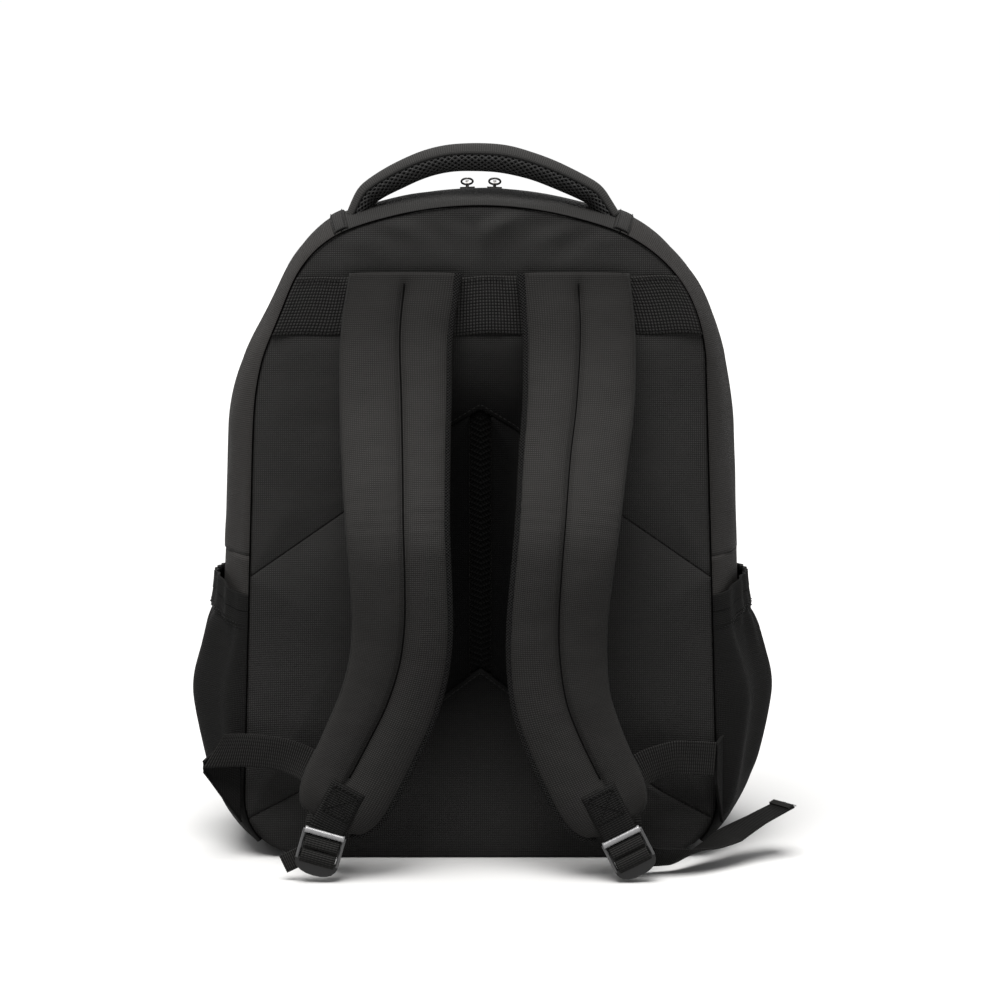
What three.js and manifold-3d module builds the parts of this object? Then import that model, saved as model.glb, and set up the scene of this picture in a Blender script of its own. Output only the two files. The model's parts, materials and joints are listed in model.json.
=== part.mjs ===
// School backpack, millimetres. +Z is up, the wearer's side (back panel) faces -Y.
// The origin is on the floor, under the middle of the main body. Left is -X, right is +X.

import * as THREE from 'three';
import Module from 'manifold-3d';
import { mergeVertices } from 'three/addons/utils/BufferGeometryUtils.js';

const wasm = await Module();
wasm.setup();

// ---------- driving dimensions ----------
const GAP = 0.3;
const CLOTH = 3;
const BOTTOM_THICK = 4;
const BACK_Y = -75;
const FRONT_Y = 65;
const PANEL_DEPTH = 3.7;
const SKIN_BACK = BACK_Y + PANEL_DEPTH + GAP;
const SKIN_FRONT = FRONT_Y - PANEL_DEPTH - GAP;

const PANEL_TOP = 428;
const TOP_RADIUS = 236;
const TOP_HALF_ANGLE = THREE.MathUtils.degToRad(20);
const BASE_HALF = 133;
const FOOT_HALF = 156;
const CORNER_HEIGHT = 23;
const SHOULDER_HALF = 146;
const SHOULDER_Z = 330;
const SIDE_BULGE = 20;
const TOP_BULGE = 12;

const FLAP_Z = 203;
const ZIP_HALF = 15;
const TAPE_SINK = 2.2;
const TAPE_THICK = 1.1;
const HANDLE_X = 90;

const STRAP_THICK = 12;
const LINING_THICK = 2;
const WEBBING_WIDTH = 22;
const WEBBING_THICK = 1.8;
const BAND_WIDTH = 38;
const BAND_TOP = 383;

const POCKET_TOP = 187;
const POCKET_FOOT = 12;
const POCKET_WALL = 1.8;
const POCKET_SWELL = 21;
const POCKET_MOUTH = 7.8;
const ELASTIC_HEIGHT = 19;

const FRONT_POCKET_HALF = 120;
const FRONT_POCKET_LOW = 12;
const FRONT_POCKET_HIGH = 192;
const FRONT_POCKET_DEPTH = 38;
const FRONT_ZIP_Z = 168;
const FRONT_ZIP_HALF = 92;

const LOCK_WIDTH = 28;
const LOCK_HEIGHT = 28;
const LOCK_THICK = 3.2;

// ---------- materials ----------
const cloth = (color, roughness) => new THREE.MeshStandardMaterial({ color, roughness, metalness: 0 });
const OXFORD = cloth(0x262525, 0.8);
const SPACER_MESH = cloth(0x1a1919, 0.9);
const WEBBING = cloth(0x1d1c1b, 0.75);
const ELASTIC = cloth(0x232221, 0.8);
const ZIP_TAPE = cloth(0x161616, 0.7);
const LINER = cloth(0x2b2a2a, 0.9);
const BOARD = cloth(0xd8d6cf, 0.6);
const PLASTIC = cloth(0x1b1b1c, 0.35);
const METAL = new THREE.MeshStandardMaterial({ color: 0x2c2c2d, roughness: 0.35, metalness: 0.9 });

// ---------- the bag and general helpers ----------
const bag = new THREE.Group();

function addPart(name, geometry, material, parent = bag) {
  const mesh = new THREE.Mesh(geometry, material);
  mesh.name = name;
  parent.add(mesh);
  return mesh;
}

function signedVolume(geometry) {
  const p = geometry.attributes.position;
  const corners = [new THREE.Vector3(), new THREE.Vector3(), new THREE.Vector3()];
  let sum = 0;
  for (let i = 0; i < geometry.index.count; i += 3) {
    corners.forEach((corner, k) => corner.fromBufferAttribute(p, geometry.index.getX(i + k)));
    sum += corners[0].dot(corners[1].clone().cross(corners[2]));
  }
  return sum / 6;
}

// A closed geometry with merged vertices and its faces pointing out.
function closed(geometry) {
  const bare = geometry.clone();
  bare.deleteAttribute('normal');
  bare.deleteAttribute('uv');
  const merged = mergeVertices(bare, 1e-3);
  if (signedVolume(merged) < 0) {
    merged.index.array.reverse();
  }
  return merged;
}

function toManifold(geometry) {
  const merged = closed(geometry);
  return new wasm.Manifold(new wasm.Mesh({
    numProp: 3,
    vertProperties: new Float32Array(merged.attributes.position.array),
    triVerts: new Uint32Array(merged.index.array),
  }));
}

function fromManifold(solid) {
  const mesh = solid.getMesh();
  const geometry = new THREE.BufferGeometry();
  geometry.setAttribute('position', new THREE.BufferAttribute(mesh.vertProperties, 3));
  geometry.setIndex(new THREE.BufferAttribute(mesh.triVerts, 1));
  return geometry;
}

// A box whose points are moved by place(u, v, w), each from 0 to 1: a bent sheet or bar.
function bentBox(nu, nv, nw, place) {
  const geometry = new THREE.BoxGeometry(1, 1, 1, nu, nv, nw);
  const p = geometry.attributes.position;
  for (let i = 0; i < p.count; i += 1) {
    const point = place(p.getX(i) + 0.5, p.getY(i) + 0.5, p.getZ(i) + 0.5);
    p.setXYZ(i, point.x, point.y, point.z);
  }
  return closed(geometry);
}

// A flat plate: an outline in X and Z, between two depths along Y.
function plate(points, yNear, yFar, bevel = 0) {
  const depth = yFar - yNear - 2 * bevel;
  const geometry = new THREE.ExtrudeGeometry(new THREE.Shape(points), {
    depth,
    bevelEnabled: bevel > 0,
    bevelThickness: bevel,
    bevelSize: bevel,
    bevelOffset: -bevel,
    bevelSegments: 1,
  });
  geometry.rotateX(Math.PI / 2);
  geometry.translate(0, yFar - bevel, 0);
  return closed(geometry);
}

const flat = (x, z) => new THREE.Vector2(x, z);
const point3 = (x, y, z) => new THREE.Vector3(x, y, z);
const mix = THREE.MathUtils.lerp;
const smooth = (low, high, value) => THREE.MathUtils.smoothstep(value, low, high);

// ---------- body outline ----------
// The seam line of the back panel, from the left foot over the top to the right foot.
function makeOutline() {
  const topX = TOP_RADIUS * Math.sin(TOP_HALF_ANGLE);
  const topZ = PANEL_TOP - TOP_RADIUS * (1 - Math.cos(TOP_HALF_ANGLE));
  const top = Math.PI / 2;
  const corner = (side) => [
    flat(side * FOOT_HALF, CORNER_HEIGHT),
    flat(side * SHOULDER_HALF, SHOULDER_Z),
    flat(side * (SHOULDER_HALF - 4), SHOULDER_Z + 42),
    flat(side * (topX + 42), topZ - 15),
    flat(side * topX, topZ),
  ];
  const [leftFoot, leftShoulder, leftA, leftB, leftTop] = corner(-1);
  const [rightFoot, rightShoulder, rightA, rightB, rightTop] = corner(1);
  const path = new THREE.CurvePath();
  path.add(new THREE.QuadraticBezierCurve(flat(-BASE_HALF, 0), flat(-FOOT_HALF, 0), leftFoot));
  path.add(new THREE.LineCurve(leftFoot, leftShoulder));
  path.add(new THREE.CubicBezierCurve(leftShoulder, leftA, leftB, leftTop));
  path.add(new THREE.EllipseCurve(0, PANEL_TOP - TOP_RADIUS, TOP_RADIUS, TOP_RADIUS,
    top + TOP_HALF_ANGLE, top - TOP_HALF_ANGLE, true));
  path.add(new THREE.CubicBezierCurve(rightTop, rightB, rightA, rightShoulder));
  path.add(new THREE.LineCurve(rightShoulder, rightFoot));
  path.add(new THREE.QuadraticBezierCurve(rightFoot, flat(FOOT_HALF, 0), flat(BASE_HALF, 0)));
  return path;
}

const OUTLINE = makeOutline();

// Where along the left half of the outline test(point) first becomes true.
function findAlong(test) {
  let low = 0;
  let high = 0.5;
  for (let i = 0; i < 40; i += 1) {
    const middle = (low + high) / 2;
    if (test(OUTLINE.getPoint(middle))) {
      high = middle;
    } else {
      low = middle;
    }
  }
  return high;
}

const alongAtHeight = (z) => findAlong((p) => p.y >= z);
const alongAtX = (x) => findAlong((p) => p.y > SHOULDER_Z && p.x >= x);

// The sides and the top swell outwards between the back seam and the front seam.
function bulge(z, y) {
  const size = smooth(0, 120, z) * mix(SIDE_BULGE, TOP_BULGE, smooth(280, 380, z));
  const round = Math.sin(Math.PI * THREE.MathUtils.clamp((y - BACK_Y) / (FRONT_Y - BACK_Y), 0, 1));
  return size * Math.pow(round, 0.7);
}

function skinPoint(along, y, out) {
  const p = OUTLINE.getPoint(along);
  const t = OUTLINE.getTangent(along);
  const lift = bulge(p.y, y) + out;
  return point3(p.x - t.y * lift, y, p.y + t.x * lift);
}

// Part of the skin of the body, as a sheet: along the outline, through the depth, inner to outer face.
function skin(from, to, yNear, yFar, inner, outer, steps, rows) {
  return bentBox(steps, rows, 1, (u, v, w) => (
    skinPoint(mix(from, to, u), mix(yNear, yFar, v), mix(inner, outer, w))
  ));
}

function outlineRun(from, to, steps, out = 0) {
  const points = [];
  for (let i = 0; i <= steps; i += 1) {
    const p = skinPoint(mix(from, to, i / steps), BACK_Y, out);
    points.push(flat(p.x, p.z));
  }
  return points;
}

// ---------- back panel ----------
const UPPER_SEAM = [[150, 187], [90, 229], [23, 283], [0, 297]];
const LOWER_SEAM = [[157, 26], [118, 45], [24, 109], [0, 127]];
const CHANNEL_HALF = 7;

// An inverted V across the panel, left to right, moved by dz.
function chevron(half, dz) {
  const left = half.map(([x, z]) => flat(-x, z + dz));
  const right = half.slice(0, -1).reverse().map(([x, z]) => flat(x, z + dz));
  return [...left, ...right];
}

function seamHeight(half, x) {
  for (let i = 1; i < half.length; i += 1) {
    if (x >= half[i][0]) {
      const share = (x - half[i][0]) / (half[i - 1][0] - half[i][0]);
      return mix(half[i][1], half[i - 1][1], share);
    }
  }
  return half[half.length - 1][1];
}

function addBackPanel() {
  const upperStart = alongAtHeight(UPPER_SEAM[0][1] + GAP);
  const lowerEnd = alongAtHeight(LOWER_SEAM[0][1] - GAP);
  const panelY = BACK_Y + PANEL_DEPTH;
  const upper = outlineRun(upperStart, 1 - upperStart, 34);
  const upperSeam = chevron(UPPER_SEAM, GAP).reverse().slice(1, -1);
  addPart('back_panel_upper', plate([...upper, ...upperSeam], BACK_Y, panelY), OXFORD);

  const lowerLeft = outlineRun(0, lowerEnd, 5);
  const lowerRight = outlineRun(1 - lowerEnd, 1, 5);
  const lowerSeam = chevron(LOWER_SEAM, -GAP).slice(1, -1);
  addPart('back_panel_lower', plate([...lowerLeft, ...lowerSeam, ...lowerRight], BACK_Y, panelY), OXFORD);

  const padLow = alongAtHeight(LOWER_SEAM[0][1] + GAP);
  const padHigh = alongAtHeight(UPPER_SEAM[0][1] - GAP);
  const padSide = outlineRun(padLow, padHigh, 4);
  const padInner = [
    flat(-90, UPPER_SEAM[1][1] - GAP),
    flat(-23, UPPER_SEAM[2][1] - GAP),
    flat(-CHANNEL_HALF, seamHeight(UPPER_SEAM, CHANNEL_HALF) - GAP),
    flat(-CHANNEL_HALF, seamHeight(LOWER_SEAM, CHANNEL_HALF) + GAP),
    flat(-24, LOWER_SEAM[2][1] + GAP),
    flat(-118, LOWER_SEAM[1][1] + GAP),
  ];
  const padShape = [...padSide, ...padInner];
  for (const [name, side] of [['back_pad_left', 1], ['back_pad_right', -1]]) {
    const points = padShape.map((p) => flat(side * p.x, p.y));
    addPart(name, plate(points, BACK_Y - 8, panelY, 3.5), OXFORD);
  }

  const half = CHANNEL_HALF - GAP;
  const channel = [
    flat(-half, seamHeight(LOWER_SEAM, half) + GAP),
    flat(0, LOWER_SEAM[3][1] + GAP),
    flat(half, seamHeight(LOWER_SEAM, half) + GAP),
    flat(half, seamHeight(UPPER_SEAM, half) - GAP),
    flat(0, UPPER_SEAM[3][1] - GAP),
    flat(-half, seamHeight(UPPER_SEAM, half) - GAP),
  ];
  addPart('back_channel_mesh', plate(channel, BACK_Y + 1.2, panelY), SPACER_MESH);

  const board = outlineRun(0.02, 0.98, 30, -CLOTH - 4);
  addPart('back_stiffener', plate(board, panelY + GAP, panelY + GAP + 2.5), BOARD);

  const band = [[-1, BAND_TOP], [-1, BAND_TOP - BAND_WIDTH], [1, BAND_TOP - BAND_WIDTH], [1, BAND_TOP]];
  const bandPoints = band.map(([side, z]) => {
    const edge = OUTLINE.getPoint(alongAtHeight(z));
    return flat(side * (Math.abs(edge.x) - 1), z);
  });
  addPart('anchor_webbing_band', plate(bandPoints, BACK_Y - GAP - WEBBING_THICK, BACK_Y - GAP), WEBBING);
}

// Thin covered cord in the seam between the back panel and the gussets.
function addPiping() {
  const start = alongAtHeight(CORNER_HEIGHT);
  const radius = 1.5;
  const geometry = new THREE.CylinderGeometry(1, 1, 1, 6, 56);
  const p = geometry.attributes.position;
  for (let i = 0; i < p.count; i += 1) {
    const along = mix(start, 1 - start, p.getY(i) + 0.5);
    const out = GAP + radius + radius * p.getX(i);
    const point = skinPoint(along, BACK_Y, out);
    p.setXYZ(i, point.x, BACK_Y + 0.5 + radius * p.getZ(i), point.z);
  }
  addPart('back_seam_piping', closed(geometry), OXFORD);
}

// ---------- body ----------
function addShell() {
  const low = 0.004;
  const pocketSeam = alongAtHeight(FLAP_Z - 3);
  const rearStart = alongAtHeight(FLAP_Z);
  const crossSeam = alongAtX(-HANDLE_X);
  const seamGap = 0.0003;
  for (const [name, flip] of [['left', false], ['right', true]]) {
    const at = (along) => (flip ? 1 - along : along);
    const sidePanel = skin(at(low), at(pocketSeam), SKIN_BACK, SKIN_FRONT, -CLOTH, 0, 9, 8);
    addPart(`${name}_side_panel`, sidePanel, OXFORD);
    addPart(`${name}_gusset`,
      skin(at(rearStart), at(crossSeam - seamGap), SKIN_BACK, -ZIP_HALF, -CLOTH, 0, 14, 4), OXFORD);
  }
  addPart('top_gusset', skin(crossSeam + seamGap, 1 - crossSeam - seamGap, SKIN_BACK, -ZIP_HALF, -CLOTH, 0, 12, 4),
    OXFORD);

  const base = new THREE.Shape();
  const x = BASE_HALF - 2;
  const r = 14;
  const near = -SKIN_BACK;
  const far = -SKIN_FRONT;
  base.absarc(x - r, near - r, r, 0, Math.PI / 2, false);
  base.absarc(r - x, near - r, r, Math.PI / 2, Math.PI, false);
  base.absarc(r - x, far + r, r, Math.PI, 1.5 * Math.PI, false);
  base.absarc(x - r, far + r, r, 1.5 * Math.PI, 2 * Math.PI, false);
  const slab = new THREE.ExtrudeGeometry(base, { depth: BOTTOM_THICK, bevelEnabled: false, curveSegments: 3 });
  const bottom = addPart('bottom_panel', closed(slab), OXFORD);
  bottom.rotation.x = Math.PI;
  bottom.position.z = BOTTOM_THICK;

  const lowerEnd = alongAtHeight(FLAP_Z - 1);
  const lower = [...outlineRun(0, lowerEnd, 9), ...outlineRun(1 - lowerEnd, 1, 9)];
  addPart('front_lower_panel', plate(lower, FRONT_Y - PANEL_DEPTH, FRONT_Y), OXFORD);

  const sleeve = [flat(-128, 6), flat(128, 6), flat(124, 292), flat(-124, 292)];
  addPart('laptop_sleeve', plate(sleeve, -50, -47.5), LINER);
}

// ---------- main zip and the front flap that it frees ----------
const flapBody = new THREE.Group();
bag.add(flapBody);

function addMainZip() {
  const start = alongAtHeight(FLAP_Z + 1);
  const inner = -TAPE_SINK - TAPE_THICK;
  addPart('main_zip_tape_rear', skin(start, 1 - start, -ZIP_HALF + GAP, -0.8, inner, -TAPE_SINK, 44, 1), ZIP_TAPE);
  addPart('main_zip_tape_front', skin(start, 1 - start, 0.8, ZIP_HALF - GAP, inner, -TAPE_SINK, 44, 1), ZIP_TAPE,
    flapBody);
  addPart('flap_gusset', skin(start, 1 - start, ZIP_HALF, SKIN_FRONT, -CLOTH, 0, 40, 4), OXFORD, flapBody);
  addPart('flap_panel', plate(outlineRun(start, 1 - start, 34), FRONT_Y - PANEL_DEPTH, FRONT_Y), OXFORD, flapBody);
}

// A zip slider on its tape: it lies in X and Y, its bridge stands up and holds the ring along X.
const SLIDER_HEIGHT = 3;
const BRIDGE_HOLE = 1.5;
const BRIDGE_Z = SLIDER_HEIGHT + BRIDGE_HOLE + 0.1;
const RING_RADIUS = 3.9;
const RING_WIRE = 0.8;
const PULL_LEAN = 60;

function sliderGeometry() {
  const body = new THREE.Shape();
  body.moveTo(-5, -2.6);
  body.lineTo(1, -5);
  body.lineTo(5, -5);
  body.lineTo(5, 5);
  body.lineTo(1, 5);
  body.lineTo(-5, 2.6);
  const slab = new THREE.ExtrudeGeometry(body, { depth: SLIDER_HEIGHT, bevelEnabled: false });
  const arch = new THREE.Shape();
  arch.moveTo(-3.2, 0);
  arch.lineTo(3.2, 0);
  arch.absarc(0, 1.6, 3.2, 0, Math.PI, false);
  const hole = new THREE.Path();
  hole.absarc(0, 2.1, BRIDGE_HOLE, 0, 2 * Math.PI, false);
  arch.holes.push(hole);
  const bridge = new THREE.ExtrudeGeometry(arch, { depth: 2.2, bevelEnabled: false, curveSegments: 6 });
  bridge.rotateX(Math.PI / 2);
  bridge.rotateZ(Math.PI / 2);
  bridge.translate(-1.1, 0, SLIDER_HEIGHT - 0.5);
  return fromManifold(toManifold(slab).add(toManifold(bridge)));
}

function ringGeometry() {
  const ring = new THREE.TorusGeometry(RING_RADIUS, RING_WIRE, 6, 18);
  ring.rotateX(Math.PI / 2);
  ring.rotateY(Math.PI / 18);
  ring.translate(0, 0, RING_RADIUS);
  return closed(ring);
}

function addSlider(name, place, turn) {
  const group = new THREE.Group();
  group.position.copy(place);
  group.rotation.copy(turn);
  bag.add(group);
  addPart(`${name}_slider`, sliderGeometry(), METAL, group);
  const pull = addPart(`${name}_pull`, ringGeometry(), METAL, group);
  pull.position.z = BRIDGE_Z;
  return group;
}

function addMainSliders() {
  const reach = TOP_RADIUS + bulge(PANEL_TOP, 0) - TAPE_SINK + 1;
  const rest = THREE.MathUtils.degToRad(2.1);
  for (const [name, side] of [['left_main', -1], ['right_main', 1]]) {
    const place = point3(
      side * reach * Math.sin(rest),
      0,
      PANEL_TOP - TOP_RADIUS + reach * Math.cos(rest),
    );
    const group = addSlider(name, place, new THREE.Euler(0, side * rest, 0));
    group.children[0].rotation.z = side > 0 ? Math.PI : 0;
    group.children[1].rotation.x = THREE.MathUtils.degToRad(PULL_LEAN);
  }
}

// ---------- carrying handle ----------
const HANDLE_Y = -45;
const HANDLE_END_Z = 430;
const HANDLE_CROWN_Z = 460;

function handlePoint(share) {
  const angle = mix(-1, 1, share);
  const x = HANDLE_X * angle;
  const z = HANDLE_CROWN_Z - (HANDLE_CROWN_Z - HANDLE_END_Z) * Math.pow(Math.abs(angle), 2.2);
  return flat(x, z);
}

function addHandle() {
  const half = (from, to) => (u, v, w) => {
    const p = handlePoint(v);
    const ahead = handlePoint(Math.min(1, v + 0.01));
    const behind = handlePoint(Math.max(0, v - 0.01));
    const t = ahead.clone().sub(behind).normalize();
    const full = Math.pow(Math.sin(Math.PI * mix(0.06, 0.94, v)), 0.5);
    const across = mix(-1, 1, u);
    const thick = mix(4.5, 9, full) * mix(0.3, 1, Math.sqrt(1 - across * across));
    const lift = mix(from, to, w) * thick + (to > from ? GAP / 2 : -GAP / 2);
    const y = HANDLE_Y + across * mix(9, 14, full);
    return point3(p.x - t.y * lift, y, p.y + t.x * lift);
  };
  addPart('handle_grip', bentBox(4, 18, 1, half(0, 1)), OXFORD);
  addPart('handle_mesh_face', bentBox(4, 18, 1, half(0, -1)), SPACER_MESH);
  const seam = alongAtX(-HANDLE_X);
  const width = 0.009;
  addPart('left_handle_tab', skin(seam - width, seam + width, -72, -34, GAP, 2, 2, 4), WEBBING);
  addPart('right_handle_tab', skin(1 - seam - width, 1 - seam + width, -72, -34, GAP, 2, 2, 4), WEBBING);
}

// ---------- side pockets ----------
function pocketOut(z, y) {
  const height = (z - POCKET_FOOT) / (POCKET_TOP - POCKET_FOOT);
  const rise = Math.pow(smooth(-0.06, 0.34, height), 0.8);
  const fall = mix(1, POCKET_MOUTH / POCKET_SWELL, smooth(0.45, 0.98, height));
  const depth = THREE.MathUtils.clamp((y - SKIN_BACK) / (SKIN_FRONT - SKIN_BACK), 0, 1);
  return POCKET_SWELL * rise * fall * Math.pow(Math.sin(Math.PI * depth), 0.45);
}

function addSidePockets() {
  const foot = alongAtHeight(POCKET_FOOT);
  const hem = alongAtHeight(POCKET_TOP - ELASTIC_HEIGHT);
  const top = alongAtHeight(POCKET_TOP);
  const near = SKIN_BACK + 1;
  const far = SKIN_FRONT - 1;
  const wall = (flip, from, to, inner, outer) => (u, v, w) => {
    const along = mix(from, to, v);
    const y = mix(near, far, 0.5 - 0.5 * Math.cos(Math.PI * u));
    const out = pocketOut(OUTLINE.getPoint(along).y, y) + mix(inner, outer, w) + GAP;
    return skinPoint(flip ? 1 - along : along, y, out);
  };
  for (const [name, flip] of [['left', false], ['right', true]]) {
    addPart(`${name}_side_pocket`, bentBox(10, 10, 1, wall(flip, foot, top, 0, POCKET_WALL)), OXFORD);
    const skinOver = POCKET_WALL + 2 * GAP;
    addPart(`${name}_pocket_elastic`, bentBox(10, 2, 1, wall(flip, hem, top, skinOver, skinOver + 1.5)), ELASTIC);
  }
}

// ---------- front pocket ----------
function frontPocketPoint(x, z, inset) {
  const halfX = FRONT_POCKET_HALF - inset;
  const halfZ = (FRONT_POCKET_HIGH - FRONT_POCKET_LOW) / 2 - inset;
  const middle = (FRONT_POCKET_HIGH + FRONT_POCKET_LOW) / 2;
  const lift = Math.sqrt(Math.max(0, (1 - Math.pow(x, 10)) * (1 - Math.pow(z, 10))));
  return point3(halfX * x, FRONT_Y + GAP + (FRONT_POCKET_DEPTH - inset) * lift, middle + halfZ * z);
}

function addFrontPocket() {
  const swing = (share) => Math.sin(Math.PI * (share - 0.5));
  addPart('front_pocket_shell', bentBox(14, 12, 1, (u, v, w) => (
    frontPocketPoint(swing(u), swing(v), mix(2.5, 0, w))
  )), OXFORD);
  const zipShare = (FRONT_ZIP_Z - (FRONT_POCKET_HIGH + FRONT_POCKET_LOW) / 2)
    / ((FRONT_POCKET_HIGH - FRONT_POCKET_LOW) / 2);
  const reach = FRONT_ZIP_HALF / FRONT_POCKET_HALF;
  addPart('front_pocket_zip_tape', bentBox(10, 2, 1, (u, v, w) => {
    const p = frontPocketPoint(mix(-reach, reach, u), zipShare + mix(-0.09, 0.09, v), 0);
    return p.add(point3(0, mix(0.8, 1.9, w), 0));
  }), ZIP_TAPE);
  const face = frontPocketPoint(0, zipShare - 0.1, 0).y + 2.4;
  const turn = new THREE.Euler(-Math.PI / 2, 0, 0);
  const group = addSlider('front_pocket', point3(FRONT_ZIP_HALF - 12, face, FRONT_ZIP_Z), turn);
  group.children[0].rotation.z = Math.PI;
  group.children[1].rotation.x = -Math.PI / 2;
}

// ---------- shoulder straps ----------
const STRAPS = {
  left: {
    line: [[-48.5, -83, 385], [-54, -92, 347], [-54.5, -108, 301], [-54, -119, 270], [-52.6, -131, 228],
      [-50.4, -134, 190], [-49.7, -132.5, 163], [-52, -131, 138], [-59, -130, 112], [-68.5, -130, 90],
      [-78, -131, 70], [-86.5, -132, 54], [-95.5, -132.5, 37]],
    lockTilt: 16,
  },
  right: {
    line: [[60.7, -83, 385], [64.3, -92, 347], [63.4, -108, 301], [60, -119, 270], [56.3, -131, 230],
      [52.5, -134, 195], [50, -132.5, 168], [49.5, -131, 143], [52.5, -130, 114], [59.5, -130, 92],
      [68.5, -131, 71], [77.5, -132, 53], [87, -132.5, 35]],
    lockTilt: 27,
  },
};

for (const strap of Object.values(STRAPS)) {
  strap.curve = new THREE.CatmullRomCurve3(strap.line.map((p) => point3(...p)));
  strap.length = strap.curve.getLength();
}

// A place on a strap: mm along it, mm across it, mm out of its middle surface.
function strapPoint(strap, along, across, out) {
  const share = THREE.MathUtils.clamp(along / strap.length, 0, 1);
  const t = strap.curve.getTangentAt(share);
  const wide = point3(0, 1, 0).cross(t).normalize();
  const face = wide.clone().cross(t).normalize();
  const p = strap.curve.getPointAt(share).addScaledVector(t, along - share * strap.length);
  return p.addScaledVector(wide, across).addScaledVector(face, out);
}

function strapHalfWidth(strap, along) {
  const share = along / strap.length;
  const body = mix(34, 30, smooth(0.15, 0.6, share));
  const endDistance = Math.max(0, strap.length - along) / 26;
  const round = Math.sqrt(Math.max(0, 1 - Math.pow(1 - Math.min(1, endDistance), 2)));
  return (body - 1.5 * smooth(0.7, 1, share)) * mix(0.5, 1, round);
}

const strapThickness = (strap, along) => STRAP_THICK * mix(0.55, 1, smooth(0, 30, along));

function addStraps() {
  for (const [name, strap] of Object.entries(STRAPS)) {
    addPart(`${name}_shoulder_strap`, bentBox(4, 26, 1, (u, v, w) => {
      const along = v * strap.length;
      const across = mix(-1, 1, u);
      const half = strapThickness(strap, along) / 2;
      const low = -half + LINING_THICK + GAP;
      const high = mix(low, half, 1 - 0.5 * Math.pow(Math.abs(across), 3));
      return strapPoint(strap, along, across * strapHalfWidth(strap, along), mix(low, high, w));
    }), OXFORD);
  }
}

// The lining is a sheet of even thickness on the wearer's face of the strap.
function addLinings() {
  for (const [name, strap] of Object.entries(STRAPS)) {
    addPart(`${name}_strap_lining`, bentBox(2, 26, 1, (u, v, w) => {
      const along = v * strap.length;
      const half = strapThickness(strap, along) / 2;
      const across = mix(-1, 1, u) * strapHalfWidth(strap, along);
      return strapPoint(strap, along, across, mix(-half, -half + LINING_THICK, w));
    }), SPACER_MESH);
  }
}

// ---------- ladder locks and webbing ----------
function lockGeometry() {
  const halfWidth = LOCK_WIDTH / 2;
  const slotHalf = WEBBING_WIDTH / 2 + 0.8;
  const frame = new THREE.Shape();
  frame.moveTo(-halfWidth, -1);
  frame.lineTo(-halfWidth + 2, 2);
  frame.lineTo(halfWidth - 2, 2);
  frame.lineTo(halfWidth, -1);
  frame.lineTo(halfWidth, -19.5);
  frame.quadraticCurveTo(halfWidth - 1, -LOCK_HEIGHT, 0, -LOCK_HEIGHT);
  frame.quadraticCurveTo(1 - halfWidth, -LOCK_HEIGHT, -halfWidth, -19.5);
  for (const [high, low] of [[-2, -7.5], [-12.5, -18]]) {
    const slot = new THREE.Path();
    slot.moveTo(-slotHalf, high);
    slot.lineTo(-slotHalf, low);
    slot.lineTo(slotHalf, low);
    slot.lineTo(slotHalf, high);
    frame.holes.push(slot);
  }
  const geometry = new THREE.ExtrudeGeometry(frame, { depth: LOCK_THICK, bevelEnabled: false, curveSegments: 5 });
  geometry.rotateX(Math.PI / 2);
  geometry.translate(0, LOCK_THICK / 2, 0);
  return closed(geometry);
}

// Flat webbing: its middle line and the direction of its width, both through a few places.
function ribbon(middle, wideWays, steps, width = WEBBING_WIDTH, slant = 0) {
  const line = new THREE.CatmullRomCurve3(middle.map((p) => point3(...p)));
  const ways = new THREE.CatmullRomCurve3(wideWays.map((p) => point3(...p)));
  return bentBox(1, steps, 1, (u, v, w) => {
    const t = line.getTangentAt(v);
    const wide = ways.getPoint(v);
    wide.addScaledVector(t, -wide.dot(t)).normalize();
    const face = wide.clone().cross(t);
    const p = line.getPointAt(v);
    p.addScaledVector(t, slant * mix(-0.5, 0.5, u) * Math.pow(1 - v, 6));
    return p.addScaledVector(wide, mix(-0.5, 0.5, u) * width)
      .addScaledVector(face, mix(-0.5, 0.5, w) * WEBBING_THICK);
  });
}

const TAB_LENGTH = 27;
const LOCK_DROP = 6.5;

function addStrapEnds() {
  for (const [name, strap] of Object.entries(STRAPS)) {
    const tabHalf = WEBBING_WIDTH / 2 + 0.5;
    addPart(`${name}_strap_end_tab`, bentBox(2, 6, 1, (u, v, w) => {
      const along = strap.length - TAB_LENGTH + v * (TAB_LENGTH + 1.6);
      const out = STRAP_THICK / 2 + GAP + w * WEBBING_THICK;
      return strapPoint(strap, along, mix(-tabHalf, tabHalf, u), out);
    }), WEBBING);
    const pivot = strapPoint(strap, strap.length + LOCK_DROP, 0, STRAP_THICK / 2 - 1);
    const lock = addPart(`${name}_ladder_lock`, lockGeometry(), PLASTIC);
    lock.position.copy(pivot);
    lock.rotation.y = THREE.MathUtils.degToRad(name === 'left' ? strap.lockTilt : -strap.lockTilt);
    strap.pivot = pivot;
  }
}

// A folded cloth wing in each lower side seam; the adjuster webbing starts on it.
// Folded cloth that ties the lower webbing into the side seam: the left one lies open as a triangle, the right one
// is turned on edge.
function leftWing(u, v, w) {
  const x = mix(160, 181, u);
  const z = mix(mix(30, 58, u), mix(87, 64, Math.pow(u, 1.5)), v);
  return point3(-x, mix(-77, -85.5, u) - w * 1.6, z);
}

function rightWing(u, v, w) {
  const x = mix(159, 154, u) + w * 1.6;
  const z = mix(mix(30, 53, u), mix(87, 79, u), v);
  return point3(x, mix(-77.6, -91, u), z);
}

function addWings() {
  addPart('left_strap_wing', bentBox(3, 3, 1, leftWing), OXFORD);
  addPart('right_strap_wing', bentBox(3, 3, 1, rightWing), OXFORD);
}

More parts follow.
